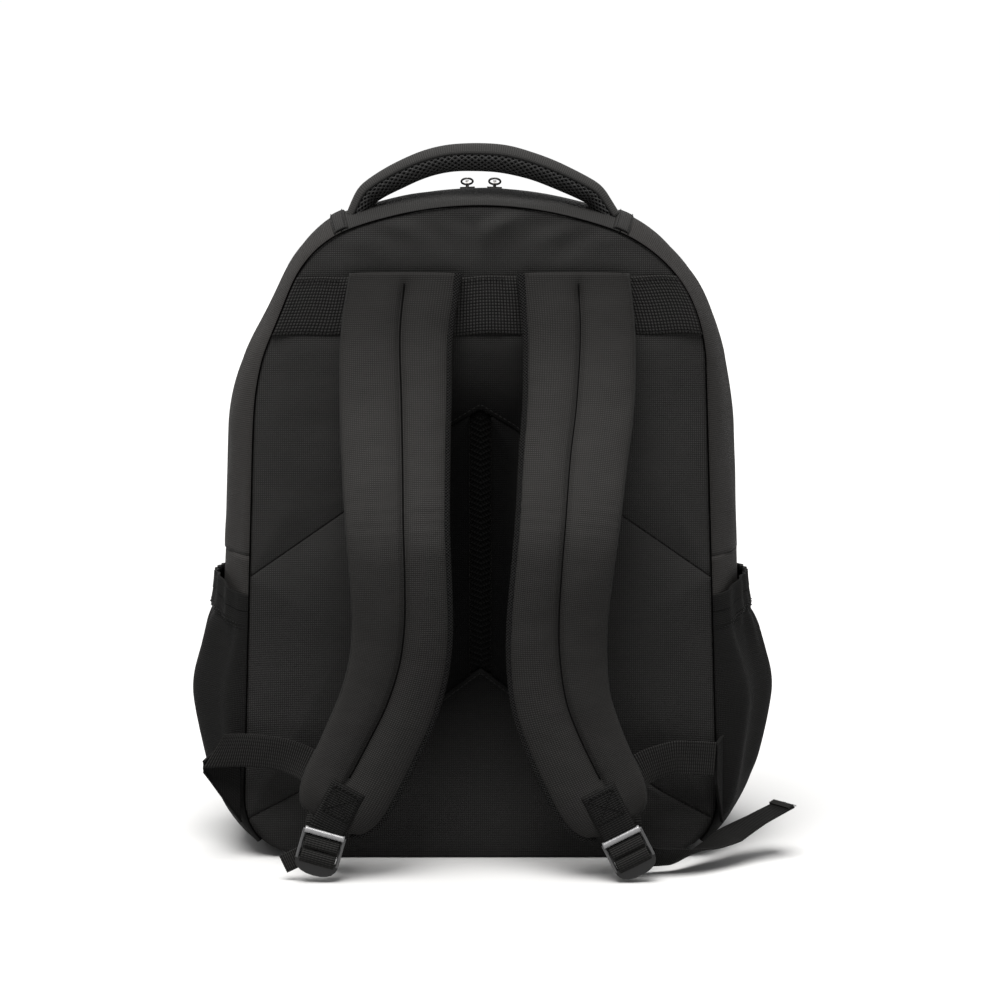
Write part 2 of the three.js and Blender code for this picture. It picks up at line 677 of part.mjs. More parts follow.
function addAdjusters() {
  const starts = {
    left: [[173, -89.5, 72], [150, -91, 72], [124, -96, 70]],
    right: [[152.5, -92.8, 67], [138, -93.8, 68.5], [124, -96, 69.5]],
  };
  const slants = { left: 15, right: 0 };
  for (const [name, side] of [['left', -1], ['right', 1]]) {
    const x = Math.abs(STRAPS[name].pivot.x);
    const middle = [
      ...starts[name],
      [mix(x, 110, 0.5), -105, 62],
      [x + 2, -112, 46],
      [x + 3, -118, 32],
    ].map(([px, y, z]) => [side * px, y, z]);
    const up = [0, 0, 1];
    const ways = [up, up, up, [-side * 0.6, 0, 0.7], [-side, 0, 0.35], [-side, 0, 0.1]];
    addPart(`${name}_adjuster_webbing`, ribbon(middle, ways, 22, WEBBING_WIDTH, slants[name]), WEBBING);
  }
}

function addTails() {
  const right = STRAPS.right.pivot;
  addPart('right_webbing_tail', ribbon(
    [[right.x + 12, -124, 14], [right.x + 22, -122, 11.5], [131, -116, 11.5], [151, -101, 15], [174, -82, 22],
      [194, -68, 31]],
    [[0.2, -0.6, 0.7], [0.1, -0.7, 0.6], [0.35, -0.75, 0.15], [0.65, -0.65, -0.25], [0.75, -0.6, -0.3],
      [0.9, -0.4, -0.2]],
    18,
  ), WEBBING);
  const left = STRAPS.left.pivot;
  addPart('left_webbing_tail', ribbon(
    [[left.x - 13, -133, 17], [left.x - 19, -133, 14], [left.x - 26, -132, 10]],
    [[0.3, 0, 1], [0.3, 0, 1], [0.4, 0, 1]],
    4,
    12,
  ), WEBBING);
}

addBackPanel();
addPiping();
addShell();
addMainZip();
addMainSliders();
addHandle();
addSidePockets();
addFrontPocket();
addStraps();
addLinings();
addStrapEnds();
addWings();
addAdjusters();
addTails();

export default bag;
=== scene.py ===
import json
import math

import bpy
import numpy as np
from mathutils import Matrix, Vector, noise


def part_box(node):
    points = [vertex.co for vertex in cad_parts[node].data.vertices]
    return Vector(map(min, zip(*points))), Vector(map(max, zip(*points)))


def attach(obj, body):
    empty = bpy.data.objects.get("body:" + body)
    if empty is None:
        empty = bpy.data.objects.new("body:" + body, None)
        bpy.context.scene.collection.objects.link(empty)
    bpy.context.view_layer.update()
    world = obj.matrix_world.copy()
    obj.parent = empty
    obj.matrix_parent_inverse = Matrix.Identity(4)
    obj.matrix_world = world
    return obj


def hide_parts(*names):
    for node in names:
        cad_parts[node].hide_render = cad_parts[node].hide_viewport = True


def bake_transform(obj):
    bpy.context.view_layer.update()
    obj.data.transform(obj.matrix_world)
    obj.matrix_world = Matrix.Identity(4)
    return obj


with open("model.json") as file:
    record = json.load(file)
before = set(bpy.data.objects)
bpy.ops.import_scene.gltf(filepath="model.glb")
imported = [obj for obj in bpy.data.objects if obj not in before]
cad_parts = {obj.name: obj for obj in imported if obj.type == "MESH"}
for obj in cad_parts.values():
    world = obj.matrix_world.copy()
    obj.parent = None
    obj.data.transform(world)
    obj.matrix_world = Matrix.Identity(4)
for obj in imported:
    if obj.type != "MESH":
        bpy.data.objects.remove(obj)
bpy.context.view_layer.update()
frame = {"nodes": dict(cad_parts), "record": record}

# ---------- sizes, in metres, from the frame ----------
MM = 0.001
BACK_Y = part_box("back_panel_upper")[0].y
FRONT_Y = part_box("front_lower_panel")[1].y
PANEL_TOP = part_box("back_panel_upper")[1].z
FOOT_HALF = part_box("back_panel_lower")[1].x
BASE_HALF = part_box("bottom_panel")[1].x - 26 * MM
FLAP_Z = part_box("flap_panel")[0].z
SIDE_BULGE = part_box("right_side_panel")[1].x - 149.4 * MM
TOP_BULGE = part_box("flap_gusset")[1].z - PANEL_TOP + 1.6 * MM
SHOULDER_HALF = FOOT_HALF - 10 * MM
SHOULDER_Z = 330 * MM
CORNER_HEIGHT = 42 * MM
TOP_RADIUS = 236 * MM
TOP_HALF_ANGLE = math.radians(20)
HANDLE_X = 90 * MM
SIDES = (("left", -1), ("right", 1))
noise.seed_set(7)


# ---------- small maths helpers ----------
def mix(a, b, t):
    """A blend from a to b."""
    return a + (b - a) * t


def smooth(low, high, x):
    """A soft step from 0 at low to 1 at high; low may be the larger."""
    t = np.clip((x - low) / (high - low), 0.0, 1.0)
    return t * t * (3.0 - 2.0 * t)


def unit(v):
    """Vectors scaled to length 1."""
    return v / np.maximum(np.linalg.norm(v, axis=-1, keepdims=True), 1e-12)


def run_along(points):
    """Distance along a path, at each of its points."""
    return np.concatenate([[0], np.cumsum(np.linalg.norm(np.diff(points, axis=0), axis=1))])


def interpolate(where, run, values):
    """The columns of values, given at run, read at where."""
    return np.stack([np.interp(where, run, values[:, k]) for k in range(values.shape[1])], axis=-1)


def lengths(run, across):
    """UVs in metres over a grid of distances along and across."""
    return np.stack(np.meshgrid(run, across, indexing="ij"), axis=-1)


def upright(x, z):
    """Points with y = 0."""
    return np.stack([x, np.zeros_like(x), z], axis=1)


def rumple(points, size, seed):
    """Soft noise, about -1 to 1, at each point of an (..., 3) array, with waves about size metres long."""
    flat = points.reshape(-1, 3) / size + seed
    values = [noise.noise(Vector(p)) for p in flat]
    return np.array(values).reshape(points.shape[:-1])


def spline(points, count):
    """A smooth curve through the points, as count places evenly spaced along it."""
    p = np.array(points, float)
    p = np.vstack([2 * p[0] - p[1], p, 2 * p[-1] - p[-2]])
    fine = []
    for i in range(1, len(p) - 2):
        p0, p1, p2, p3 = p[i - 1:i + 3]
        d01, d12, d23 = (max(1e-6, np.linalg.norm(b - a) ** 0.5) for a, b in ((p0, p1), (p1, p2), (p2, p3)))
        m1 = (p2 - p1 + d12 * ((p1 - p0) / d01 - (p2 - p0) / (d01 + d12)))
        m2 = (p2 - p1 + d12 * ((p3 - p2) / d23 - (p3 - p1) / (d12 + d23)))
        t = np.linspace(0, 1, 24, endpoint=False)[:, None]
        fine.append((2 * t**3 - 3 * t**2 + 1) * p1 + (t**3 - 2 * t**2 + t) * m1
                    + (3 * t**2 - 2 * t**3) * p2 + (t**3 - t**2) * m2)
    fine = np.vstack(fine + [p[-2][None]])
    run = run_along(fine)
    return interpolate(np.linspace(0, run[-1], count), run, fine), run[-1]


# ---------- the body's outline and skin ----------
def bezier(controls, count):
    """Points along a Bezier curve, without its last one."""
    t = np.linspace(0, 1, count, endpoint=False)[:, None]
    n = len(controls) - 1
    return sum(math.comb(n, k) * t**k * (1 - t)**(n - k) * np.array(c) for k, c in enumerate(controls))


def make_outline():
    """The back panel's seam line in x and z, from the left foot over the top to the right foot."""
    top_x = TOP_RADIUS * math.sin(TOP_HALF_ANGLE)
    top_z = PANEL_TOP - TOP_RADIUS * (1 - math.cos(TOP_HALF_ANGLE))
    foot, shoulder, crown = (-FOOT_HALF, CORNER_HEIGHT), (-SHOULDER_HALF, SHOULDER_Z), (-top_x, top_z)
    left = np.vstack([
        bezier([(-BASE_HALF, 0), (-FOOT_HALF, 0), foot], 40),
        bezier([foot, shoulder], 80),
        bezier([shoulder, (-SHOULDER_HALF + 4 * MM, SHOULDER_Z + 42 * MM),
                (-top_x - 42 * MM, top_z - 15 * MM), crown], 80),
    ])
    turn = np.linspace(-TOP_HALF_ANGLE, 0, 60)
    arc = np.stack([TOP_RADIUS * np.sin(turn), PANEL_TOP - TOP_RADIUS * (1 - np.cos(turn))], axis=1)
    left = np.vstack([left, arc])
    return np.vstack([left, left[-2::-1] * (-1, 1)])


OUTLINE = make_outline()
RUN = run_along(OUTLINE)
GIRTH = RUN[-1]
TANGENT = unit(np.gradient(OUTLINE, RUN, axis=0))


def outline(s):
    """Points and outward normals at shares s of the outline."""
    at = np.asarray(s, float) * GIRTH
    t = unit(interpolate(at, RUN, TANGENT))
    return interpolate(at, RUN, OUTLINE), np.stack([-t[..., 1], t[..., 0]], axis=-1)


def share_at(z=None, x=None):
    """The share of the outline where its left half is at height z, or its top left part at x."""
    half = len(OUTLINE) // 2
    if x is None:
        return float(np.interp(z, OUTLINE[:half, 1], RUN[:half])) / GIRTH
    upper = OUTLINE[:half, 1] > SHOULDER_Z
    return float(np.interp(x, OUTLINE[:half][upper, 0], RUN[:half][upper])) / GIRTH


CROSS_SEAM = share_at(x=-HANDLE_X)


def mirrored(share, sign):
    """A share of the outline's left half for sign -1, or its twin on the right for sign 1."""
    return share if sign < 0 else 1 - share


def bulge(z, y):
    """How far the filled bag swells its sides and top at height z and depth y."""
    size = smooth(0, 0.12, z) * mix(SIDE_BULGE, TOP_BULGE, smooth(0.28, 0.38, z))
    depth = np.clip((y - BACK_Y) / (FRONT_Y - BACK_Y), 0, 1)
    return size * np.sin(math.pi * depth)**0.7


def skin(s, y, out):
    """Points of the body's skin at outline shares s and depths y, moved outwards."""
    s, y, out = np.broadcast_arrays(np.asarray(s, float), np.asarray(y, float), np.asarray(out, float))
    p, n = outline(s)
    seam_pull = -1.2 * MM * np.exp(-np.abs(y - BACK_Y) / (2.5 * MM))
    lift = bulge(p[..., 1], y) + out + seam_pull + tent(p, y)
    return np.stack([p[..., 0] + n[..., 0] * lift + slump(p), y, p[..., 1] + n[..., 1] * lift], axis=-1)


def slump(p):
    """How far the bag's left shoulder sinks inwards."""
    return 11.0 * MM * np.exp(-((p[..., 1] - 0.363) / (38 * MM))**2) * smooth(-0.06, -0.12, p[..., 0])


def tent(p, y):
    """Cloth lifted by the handle's ends where they are sewn into the cross seams."""
    return 3.5 * MM * np.exp(-((np.abs(p[..., 0]) - HANDLE_X) / (20 * MM))**2) * np.exp(
        -((y + 42 * MM) / (26 * MM))**2) * smooth(0.38, 0.40, p[..., 1])


# ---------- meshes ----------
def new_mesh(name, verts, faces, uvs, material):
    """A smooth-shaded object; uvs holds one place per vertex, or is None."""
    mesh = bpy.data.meshes.new(name)
    mesh.from_pydata([tuple(v) for v in np.asarray(verts, float)], [], [tuple(f) for f in faces])
    if uvs is not None:
        layer = mesh.uv_layers.new(name="UVMap")
        corner = np.empty(len(mesh.loops), np.int32)
        mesh.loops.foreach_get("vertex_index", corner)
        layer.data.foreach_set("uv", np.asarray(uvs, np.float32)[corner].ravel())
    mesh.polygons.foreach_set("use_smooth", [True] * len(mesh.polygons))
    mesh.validate()
    mesh.update()
    obj = bpy.data.objects.new(name, mesh)
    bpy.context.scene.collection.objects.link(obj)
    mesh.materials.append(material)
    return obj


def ring_faces(first, around):
    """The quads between a closed ring of points that starts at index first and the ring that follows it."""
    return [(first + j, first + around + j, first + around + (j + 1) % around, first + (j + 1) % around)
            for j in range(around)]


def grid(name, points, material, thickness, flip=False):
    """A sheet from an (nu, nv, 3) array of points; thickness grows inwards. UVs are in metres along the sheet."""
    nu, nv = points.shape[:2]
    uvs = lengths(run_along(points[:, nv // 2]), run_along(points[nu // 2]))
    faces = [(i * nv + j, (i + 1) * nv + j, (i + 1) * nv + j + 1, i * nv + j + 1)
             for i in range(nu - 1) for j in range(nv - 1)]
    if flip:
        faces = [f[::-1] for f in faces]
    obj = new_mesh(name, points.reshape(-1, 3), faces, uvs.reshape(-1, 2), material)
    solid = obj.modifiers.new("cloth", "SOLIDIFY")
    solid.thickness = thickness
    solid.offset = -1
    solid.use_even_offset = False
    return obj


def loft(name, rings, material, uvs=None):
    """A closed body through (stations, around, 3) rings, with its ends closed."""
    n, m = rings.shape[:2]
    verts = np.vstack([rings.reshape(-1, 3), rings[0].mean(0)[None], rings[-1].mean(0)[None]])
    faces = [face for i in range(n - 1) for face in ring_faces(i * m, m)]
    faces += [(n * m, j, (j + 1) % m) for j in range(m)]
    faces += [(n * m + 1, (n - 1) * m + (j + 1) % m, (n - 1) * m + j) for j in range(m)]
    if uvs is None:
        uvs = lengths(run_along(rings.mean(1)), run_along(rings[n // 2]))[..., ::-1]
    flat = np.vstack([uvs.reshape(-1, 2), uvs[0].mean(0)[None], uvs[-1].mean(0)[None]])
    return outwards(new_mesh(name, verts, faces, flat, material))


def outwards(obj):
    """Turns a closed mesh's faces outwards and hands the object back."""
    mesh = obj.data
    co = np.empty(len(mesh.vertices) * 3)
    mesh.vertices.foreach_get("co", co)
    co = co.reshape(-1, 3)
    mesh.calc_loop_triangles()
    tri = np.empty(len(mesh.loop_triangles) * 3, np.int32)
    mesh.loop_triangles.foreach_get("vertices", tri)
    a, b, c = (co[tri.reshape(-1, 3)[:, k]] for k in range(3))
    if np.einsum("ij,ij->i", a, np.cross(b, c)).sum() < 0:
        mesh.flip_normals()
    return obj


def join(name, objects):
    """One object from several, with their materials."""
    with bpy.context.temp_override(active_object=objects[0], selected_editable_objects=objects,
                                   selected_objects=objects, object=objects[0]):
        bpy.ops.object.join()
    objects[0].name = name
    return objects[0]


def path_frames(points, wide_hint):
    """Tangents, width directions and face directions along a path; wide_hint is one vector or one per point."""
    t = unit(np.gradient(points, axis=0))
    hint = np.broadcast_to(np.asarray(wide_hint, float), points.shape)
    wide = unit(hint - t * np.sum(hint * t, axis=1, keepdims=True))
    return t, wide, np.cross(wide, t)


def place(obj, body, slot, *nodes):
    """The piece rides on a body and stands for its CAD nodes, which it hides; slot is not used."""
    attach(obj, body)
    if nodes:
        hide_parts(*nodes)
    return obj


# ---------- stitches and piping ----------
THREAD_RADIUS = 0.32 * MM


def stitches(name, points, normals, pitch=3.4 * MM, length=2.5 * MM):
    """A row of short threads lying along a path, one every pitch; normals is one vector or one per point."""
    points = np.asarray(points, float)
    normals = unit(np.broadcast_to(np.asarray(normals, float), points.shape))
    run = run_along(points)
    count = max(2, int(run[-1] / pitch))
    at = (np.arange(count) + 0.5) * run[-1] / count
    centre, face = interpolate(at, run, points), unit(interpolate(at, run, normals))
    ahead = unit(interpolate(np.minimum(at + pitch / 2, run[-1]), run, points)
                 - interpolate(np.maximum(at - pitch / 2, 0), run, points))
    side = np.cross(ahead, face)
    rings = ((-0.5, -0.15, 0.35), (-0.3, 0.55, 1.0), (0.3, 0.55, 1.0), (0.5, -0.15, 0.35))
    verts, faces = [], []
    for i in range(count):
        base = len(verts)
        for lengthwise, height, size in rings:
            middle = centre[i] + ahead[i] * lengthwise * length + face[i] * height * THREAD_RADIUS
            for k in range(5):
                a = 2 * math.pi * k / 5
                verts.append(middle + (side[i] * math.cos(a) + face[i] * math.sin(a)) * THREAD_RADIUS * size)
        for ring in range(len(rings) - 1):
            faces += ring_faces(base + ring * 5, 5)
        faces += [tuple(range(base, base + 5)), tuple(range(base + 19, base + 14, -1))]
    return outwards(new_mesh(name, verts, faces, None, THREAD))


def sweep(points, wide, face, a, b):
    """Places at a along wide and b along face from each point of a path."""
    return points[:, None] + wide[:, None] * a[..., None] + face[:, None] * b[..., None]


def rope(name, points, radius, material, around=8, radius_b=None):
    """A thin round cord along a path, such as piping; radius_b is its half height if that differs."""
    points = np.asarray(points, float)
    _, wide, face = path_frames(points, (0.0, 1.0, 0.0))
    a = np.linspace(0, 2 * math.pi, around, endpoint=False)
    return loft(name, sweep(points, wide, face, np.cos(a) * radius, np.sin(a) * (radius_b or radius)), material)


# ---------- materials ----------
def add_node(tree, kind, **settings):
    """A shader node; inputs may be sockets or values."""
    node = tree.nodes.new(kind)
    inputs = settings.pop("inputs", {})
    for key, value in settings.items():
        setattr(node, key, value)
    for key, value in inputs.items():
        if isinstance(value, bpy.types.NodeSocket):
            tree.links.new(value, node.inputs[key])
        else:
            node.inputs[key].default_value = value
    return node


def maths(tree, operation, *values):
    """The result of a maths node on sockets or numbers."""
    return add_node(tree, "ShaderNodeMath", operation=operation, inputs=dict(enumerate(values))).outputs[0]


def times(tree, a, b):
    """The product of two sockets or numbers."""
    return maths(tree, "MULTIPLY", a, b)


def soft_range(tree, value, low, high, to_low=0.0, to_high=1.0):
    """A soft step from to_low to to_high as the value goes from low to high."""
    return add_node(tree, "ShaderNodeMapRange", interpolation_type="SMOOTHSTEP", inputs={
        "Value": value, "From Min": low, "From Max": high, "To Min": to_low, "To Max": to_high}).outputs[0]


def ramp(tree, value, stops):
    """Colours by value, from (position, colour) stops."""
    node = add_node(tree, "ShaderNodeValToRGB", inputs={"Fac": value})
    elements = node.color_ramp.elements
    while len(elements) > 1:
        elements.remove(elements[-1])
    elements[0].position, elements[0].color = stops[0][0], (*stops[0][1], 1)
    for position, colour in stops[1:]:
        elements.new(position).color = (*colour, 1)
    return node.outputs["Color"]


def grey(level):
    """The same level of red, green and blue."""
    return (level, level, level)


class Material:
    """A Principled material with helpers for the patterns that fabric and plastic need."""

    def __init__(self, name, roughness, sheen=0.0, sheen_roughness=0.4, **sockets):
        self.material = bpy.data.materials.new(name)
        self.material.use_nodes = True
        self.tree = self.material.node_tree
        self.shader = self.tree.nodes["Principled BSDF"]
        self.shader.inputs["Roughness"].default_value = roughness
        self.shader.inputs["Sheen Weight"].default_value = sheen
        self.shader.inputs["Sheen Roughness"].default_value = sheen_roughness
        self.shader.inputs["Sheen Tint"].default_value = (1.0, 0.9, 0.8, 1)
        for key, value in sockets.items():
            self.shader.inputs[key.replace("_", " ")].default_value = value
        coordinates = add_node(self.tree, "ShaderNodeTexCoord")
        self.object = coordinates.outputs["Object"]
        self.uv = coordinates.outputs["UV"]

    def noise(self, scale, detail=3.0, roughness=0.55):
        return add_node(self.tree, "ShaderNodeTexNoise", inputs={
            "Vector": self.object, "Scale": scale, "Detail": detail, "Roughness": roughness}).outputs["Fac"]

    def axes(self, vector, scale_x, scale_y):
        split = add_node(self.tree, "ShaderNodeSeparateXYZ", inputs={0: vector})
        return times(self.tree, split.outputs[0], scale_x), times(self.tree, split.outputs[1], scale_y)

    def weave(self, vector, pitch_x, pitch_y, lift=0.5):
        """Over-and-under threads with the given pitches in metres: a height from 0 to 1."""
        t = self.tree
        x, y = (maths(t, "SINE", angle) for angle in self.axes(vector, math.pi / pitch_x, math.pi / pitch_y))
        both = times(t, maths(t, "ABSOLUTE", x), maths(t, "ABSOLUTE", y))
        return maths(t, "ADD", times(t, both, 1 - lift), times(t, maths(t, "ABSOLUTE", times(t, x, y)), lift))

    def ribs(self, vector, pitch, axis):
        """Ridges across axis 0 or 1 of the vector: a height from 0 to 1."""
        angle = self.axes(vector, math.pi / pitch, math.pi / pitch)[axis]
        return maths(self.tree, "ABSOLUTE", maths(self.tree, "SINE", angle))

    def bump(self, *layers):
        """Stacks (height socket, distance in metres, strength) layers on the normal."""
        normal = None
        for height, distance, strength in layers:
            inputs = {"Height": height, "Distance": distance, "Strength": strength}
            if normal is not None:
                inputs["Normal"] = normal
            normal = add_node(self.tree, "ShaderNodeBump", inputs=inputs).outputs["Normal"]
        self.tree.links.new(normal, self.shader.inputs["Normal"])

    def colour(self, socket):
        self.tree.links.new(socket, self.shader.inputs["Base Color"])

    def rough(self, value, low, high):
        mapped = add_node(self.tree, "ShaderNodeMapRange", inputs={
            "Value": value, "To Min": low, "To Max": high}).outputs[0]
        self.tree.links.new(mapped, self.shader.inputs["Roughness"])

    def mix_colour(self, factor, a, b):
        node = add_node(self.tree, "ShaderNodeMix", data_type="RGBA", inputs={"Factor": factor})
        for index, value in ((6, a), (7, b)):
            if isinstance(value, bpy.types.NodeSocket):
                self.tree.links.new(value, node.inputs[index])
            else:
                node.inputs[index].default_value = (*value, 1)
        return node.outputs[2]


def oxford(name, dark, light, sheen=0.01, pitch=1.35 * MM, use_uv=True, warm=1.015, specular=0.03, inner=None,
           clear=None, painted_light=None):
    """Woven polyester: fine threads, slubs and soft handling creases. inner darkens it, as painted shade where the
    straps shade the back, from one distance off the middle of the back to another; clear gives the heights between
    which that painted shade ends; the last argument gives (height, share of the colour kept) stops of painted light
    and shade along the cloth's length."""
    m = Material(name, 0.66, sheen=sheen, sheen_roughness=0.35, Specular_IOR_Level=specular)
    t = m.tree
    weave = m.weave(m.uv if use_uv else m.object, pitch, pitch * 0.9)
    large = m.noise(9.0, 4.0)
    slub = m.noise(900.0, 2.0)
    tone = maths(t, "ADD", times(t, large, 0.6), times(t, slub, 0.4))
    base = ramp(t, tone, [(0.3, (dark * warm, dark, dark / warm)), (0.7, (light * warm, light, light / warm))])
    thread_top = (light * 2.3 * warm, light * 2.3, light * 2.25)
    cloth = m.mix_colour(times(t, maths(t, "POWER", weave, 2.0), 0.8), base, thread_top)
    x, _, z = add_node(t, "ShaderNodeSeparateXYZ", inputs={0: m.object}).outputs
    # Painted shade: near-black towards the middle of the back, where the straps shade the cloth, except past the
    # clear heights.
    if inner:
        unshaded = soft_range(t, maths(t, "ABSOLUTE", x), *inner)
        if clear:
            unshaded = maths(t, "MAXIMUM", unshaded, soft_range(t, z, *clear))
        cloth = m.mix_colour(unshaded, grey(0.0008), cloth)
    # Painted light and shade: the colour scaled by height, as the cloth is lit there or shaded.
    if painted_light:
        lit_share = ramp(t, times(t, z, 2.0), [(height * 2.0, grey(share)) for height, share in painted_light])
        cloth = m.mix_colour(lit_share, grey(0.0), cloth)
    m.colour(cloth)
    m.rough(large, 0.58, 0.76)
    m.bump((m.noise(30.0, 3.0), 2.0 * MM, 0.8), (weave, 0.3 * MM, 0.9))
    return m.material


def spacer_mesh(name, pitch=4.2 * MM, dark=0.001, light=0.012, hole=0.34):
    """Knitted spacer mesh: rows of diamond holes in a fuzzy knit."""
    m = Material(name, 0.8, sheen=0.005, sheen_roughness=0.5, Specular_IOR_Level=0.04)
    t = m.tree
    x, y = m.axes(m.uv, math.pi / pitch, math.pi / (pitch * 0.9))
    slopes = [maths(t, "SINE", maths(t, operation, x, y)) for operation in ("ADD", "SUBTRACT")]
    depth = maths(t, "ABSOLUTE", times(t, *slopes))
    knit = maths(t, "SUBTRACT", 1.0, depth)
    hole_mask = soft_range(t, depth, hole, hole + 0.25)
    fuzz = m.noise(700.0, 2.0)
    yarn = ramp(t, fuzz, [(0.25, grey(light * 0.6)), (0.8, grey(light * 1.5))])
    m.colour(m.mix_colour(hole_mask, yarn, grey(dark)))
    m.bump((knit, 1.4 * MM, 0.9), (fuzz, 0.3 * MM, 0.5))
    return m.material


RIB_WIDTH, RIB_LENGTH = 1.4175 * MM, 2.31 * MM


def webbing(name, coarse=False, dark=0.001, light=0.015):
    """Ribbed webbing: close ribs across the band and fine threads between them."""
    m = Material(name, 0.6, sheen=0.008, sheen_roughness=0.35, Specular_IOR_Level=0.06)
    t = m.tree
    if coarse:
        pattern = m.weave(m.uv, 2.0 * MM, 2.0 * MM, lift=0.3)
    else:
        across = maths(t, "POWER", m.ribs(m.uv, RIB_WIDTH, axis=0), 1.5)
        pattern = times(t, across, maths(t, "ADD", times(t, m.ribs(m.uv, RIB_LENGTH, axis=1), 0.5), 0.5))
    fine = m.noise(1100.0, 2.0)
    worn = m.noise(25.0, 4.0)
    base = ramp(t, pattern, [(0.1, grey(dark)), (0.85, (light, light * 0.98, light * 0.94))])
    m.colour(m.mix_colour(times(t, worn, 0.15), base, grey(light)))
    m.rough(fine, 0.5, 0.75)
    m.bump((pattern, 0.5 * MM, 0.85), (fine, 0.12 * MM, 0.5))
    return m.material


def thread(name):
    """Sewing thread: plain, dark and dull."""
    m = Material(name, 0.5, Specular_IOR_Level=0.06)
    twist = m.noise(1500.0, 1.0)
    m.colour(ramp(m.tree, twist, [(0.3, grey(0.0035)), (0.7, (0.00675, 0.0065, 0.00625))]))
    m.bump((twist, 0.1 * MM, 0.6))
    return m.material


def moulded(name, level, roughness, specular=0.3):
    """Moulded acetal with the fine orange peel and light scuffs of a used buckle."""
    m = Material(name, roughness, Specular_IOR_Level=specular)
    grain = m.noise(900.0, 3.0)
    scuff = m.noise(130.0, 5.0, roughness=0.7)
    worn = add_node(m.tree, "ShaderNodeMapRange", inputs={
        "Value": scuff, "From Min": 0.55, "From Max": 0.75, "To Min": 0.0, "To Max": 0.4}).outputs[0]
    m.colour(m.mix_colour(worn, (level, level, level * 1.03), grey(level * 2.5)))
    m.rough(scuff, roughness - 0.1, roughness + 0.2)
    m.bump((grain, 0.12 * MM, 0.5), (scuff, 0.2 * MM, 0.25))
    return m.material


def lacquered(name):
    """Black-lacquered zinc with brighter worn metal showing through in places."""
    m = Material(name, 0.3, Metallic=1.0)
    scuff = m.noise(420.0, 4.0, roughness=0.7)
    m.colour(ramp(m.tree, scuff, [(0.45, grey(0.035)), (0.75, (0.22, 0.21, 0.2))]))
    m.rough(scuff, 0.22, 0.5)
    m.bump((scuff, 0.08 * MM, 0.4))
    return m.material


def zip_tape_material():
    """Knitted tape with fine ribs along it."""
    m = Material("zip_tape_knit", 0.65, sheen=0.03, Specular_IOR_Level=0.15)
    twill = m.ribs(m.uv, 0.8 * MM, axis=0)
    fine = m.noise(900.0, 2.0)
    m.colour(ramp(m.tree, twill, [(0.1, grey(0.006)), (0.8, grey(0.02))]))
    m.bump((twill, 0.25 * MM, 0.8), (fine, 0.1 * MM, 0.5))
    return m.material


def floor_material():
    """The even grey floor the object stands on."""
    m = Material("studio_floor", 0.75)
    patch = m.noise(2.0, 3.0)
    m.colour(ramp(m.tree, patch, [(0.3, grey(0.38)), (0.7, grey(0.40))]))
    m.bump((m.noise(60.0, 3.0), 0.3 * MM, 0.1))
    return m.material


# Heights in metres and the share of the straps' colour that is kept there: painted light and shade, lightest where
# the straps bend out towards the light and darker above and below.
STRAP_LIGHT_AND_SHADE = [(0.02, 0.6), (0.12, 0.66), (0.205, 0.7), (0.228, 0.95), (0.27, 1.0), (0.31, 0.88), (0.345, 0.68),
          (0.39, 0.56)]
OXFORD = oxford("oxford_black", dark=0.008, light=0.0145)
# Copies with painted shade: near-black towards the middle of the back, where the straps shade the panels; the lower
# one is darker overall.
OXFORD_UPPER_SHADED = oxford("oxford_upper", dark=0.008, light=0.0145, inner=(0.012, 0.065), clear=(0.275, 0.385))
OXFORD_LOWER_SHADED = oxford("oxford_lower", dark=0.0066, light=0.0124, inner=(0.01, 0.1), clear=(0.14, 0.03))
# The straps' cloth, with painted light and shade by height.
OXFORD_STRAP_LIGHT_SHADE = oxford("oxford_strap", dark=0.0115, light=0.018, warm=1.03, painted_light=STRAP_LIGHT_AND_SHADE)
OXFORD_GUSSET = oxford("oxford_gusset", dark=0.009, light=0.0168, sheen=0.0, warm=1.05)
OXFORD_HANDLE = oxford("oxford_handle", dark=0.012, light=0.02, warm=1.02)
# A darker copy for the side pockets and wings: painted shade, as they face away from the light.
POCKET_SHADE_CLOTH = oxford("pocket_cloth", dark=0.0022, light=0.0056, sheen=0.0)
# Pad cloth with painted shade: near-black towards the channel, where the straps shade the pads.
PAD_FABRIC_SHADED = oxford("pad_fabric", dark=0.007, light=0.0125, inner=(0.014, 0.06))
INNER_CLOTH = oxford("inner_cloth", dark=0.012, light=0.02, sheen=0.03, pitch=0.6 * MM, use_uv=False)
# Near-black cord cloth: painted shade in the back seam.
SEAM_SHADE = oxford("seam_crease", dark=0.0006, light=0.0014, sheen=0.0, specular=0.0, pitch=0.6 * MM)
# Near-black cord cloth: painted shade in the groove down each strap.
STRAP_GROOVE_SHADE = oxford("strap_crease", dark=0.0018, light=0.0034, sheen=0.0, specular=0.0, pitch=0.6 * MM)
MESH = spacer_mesh("spacer_mesh")
# A near-black copy of the mesh: painted shade in the channel between the pads.
CHANNEL_SHADE_MESH = spacer_mesh("channel_mesh", dark=0.0001, light=0.0006)
HANDLE_MESH = spacer_mesh("handle_mesh_knit", pitch=4.4 * MM, light=0.036, hole=0.45)
EDGE_KNIT = spacer_mesh("edge_knit", pitch=2.2 * MM, light=0.012)
WEBBING = webbing("webbing_rib")
WEBBING_DARK = webbing("webbing_dark", dark=0.0006, light=0.0065)
BAND = webbing("webbing_coarse", coarse=True, dark=0.0006, light=0.019)
THREAD = thread("sewing_thread")
PIPING = oxford("piping_cover", dark=0.008, light=0.016, sheen=0.0, pitch=0.6 * MM)
PLASTIC = moulded("buckle_plastic", level=0.005, roughness=0.32)
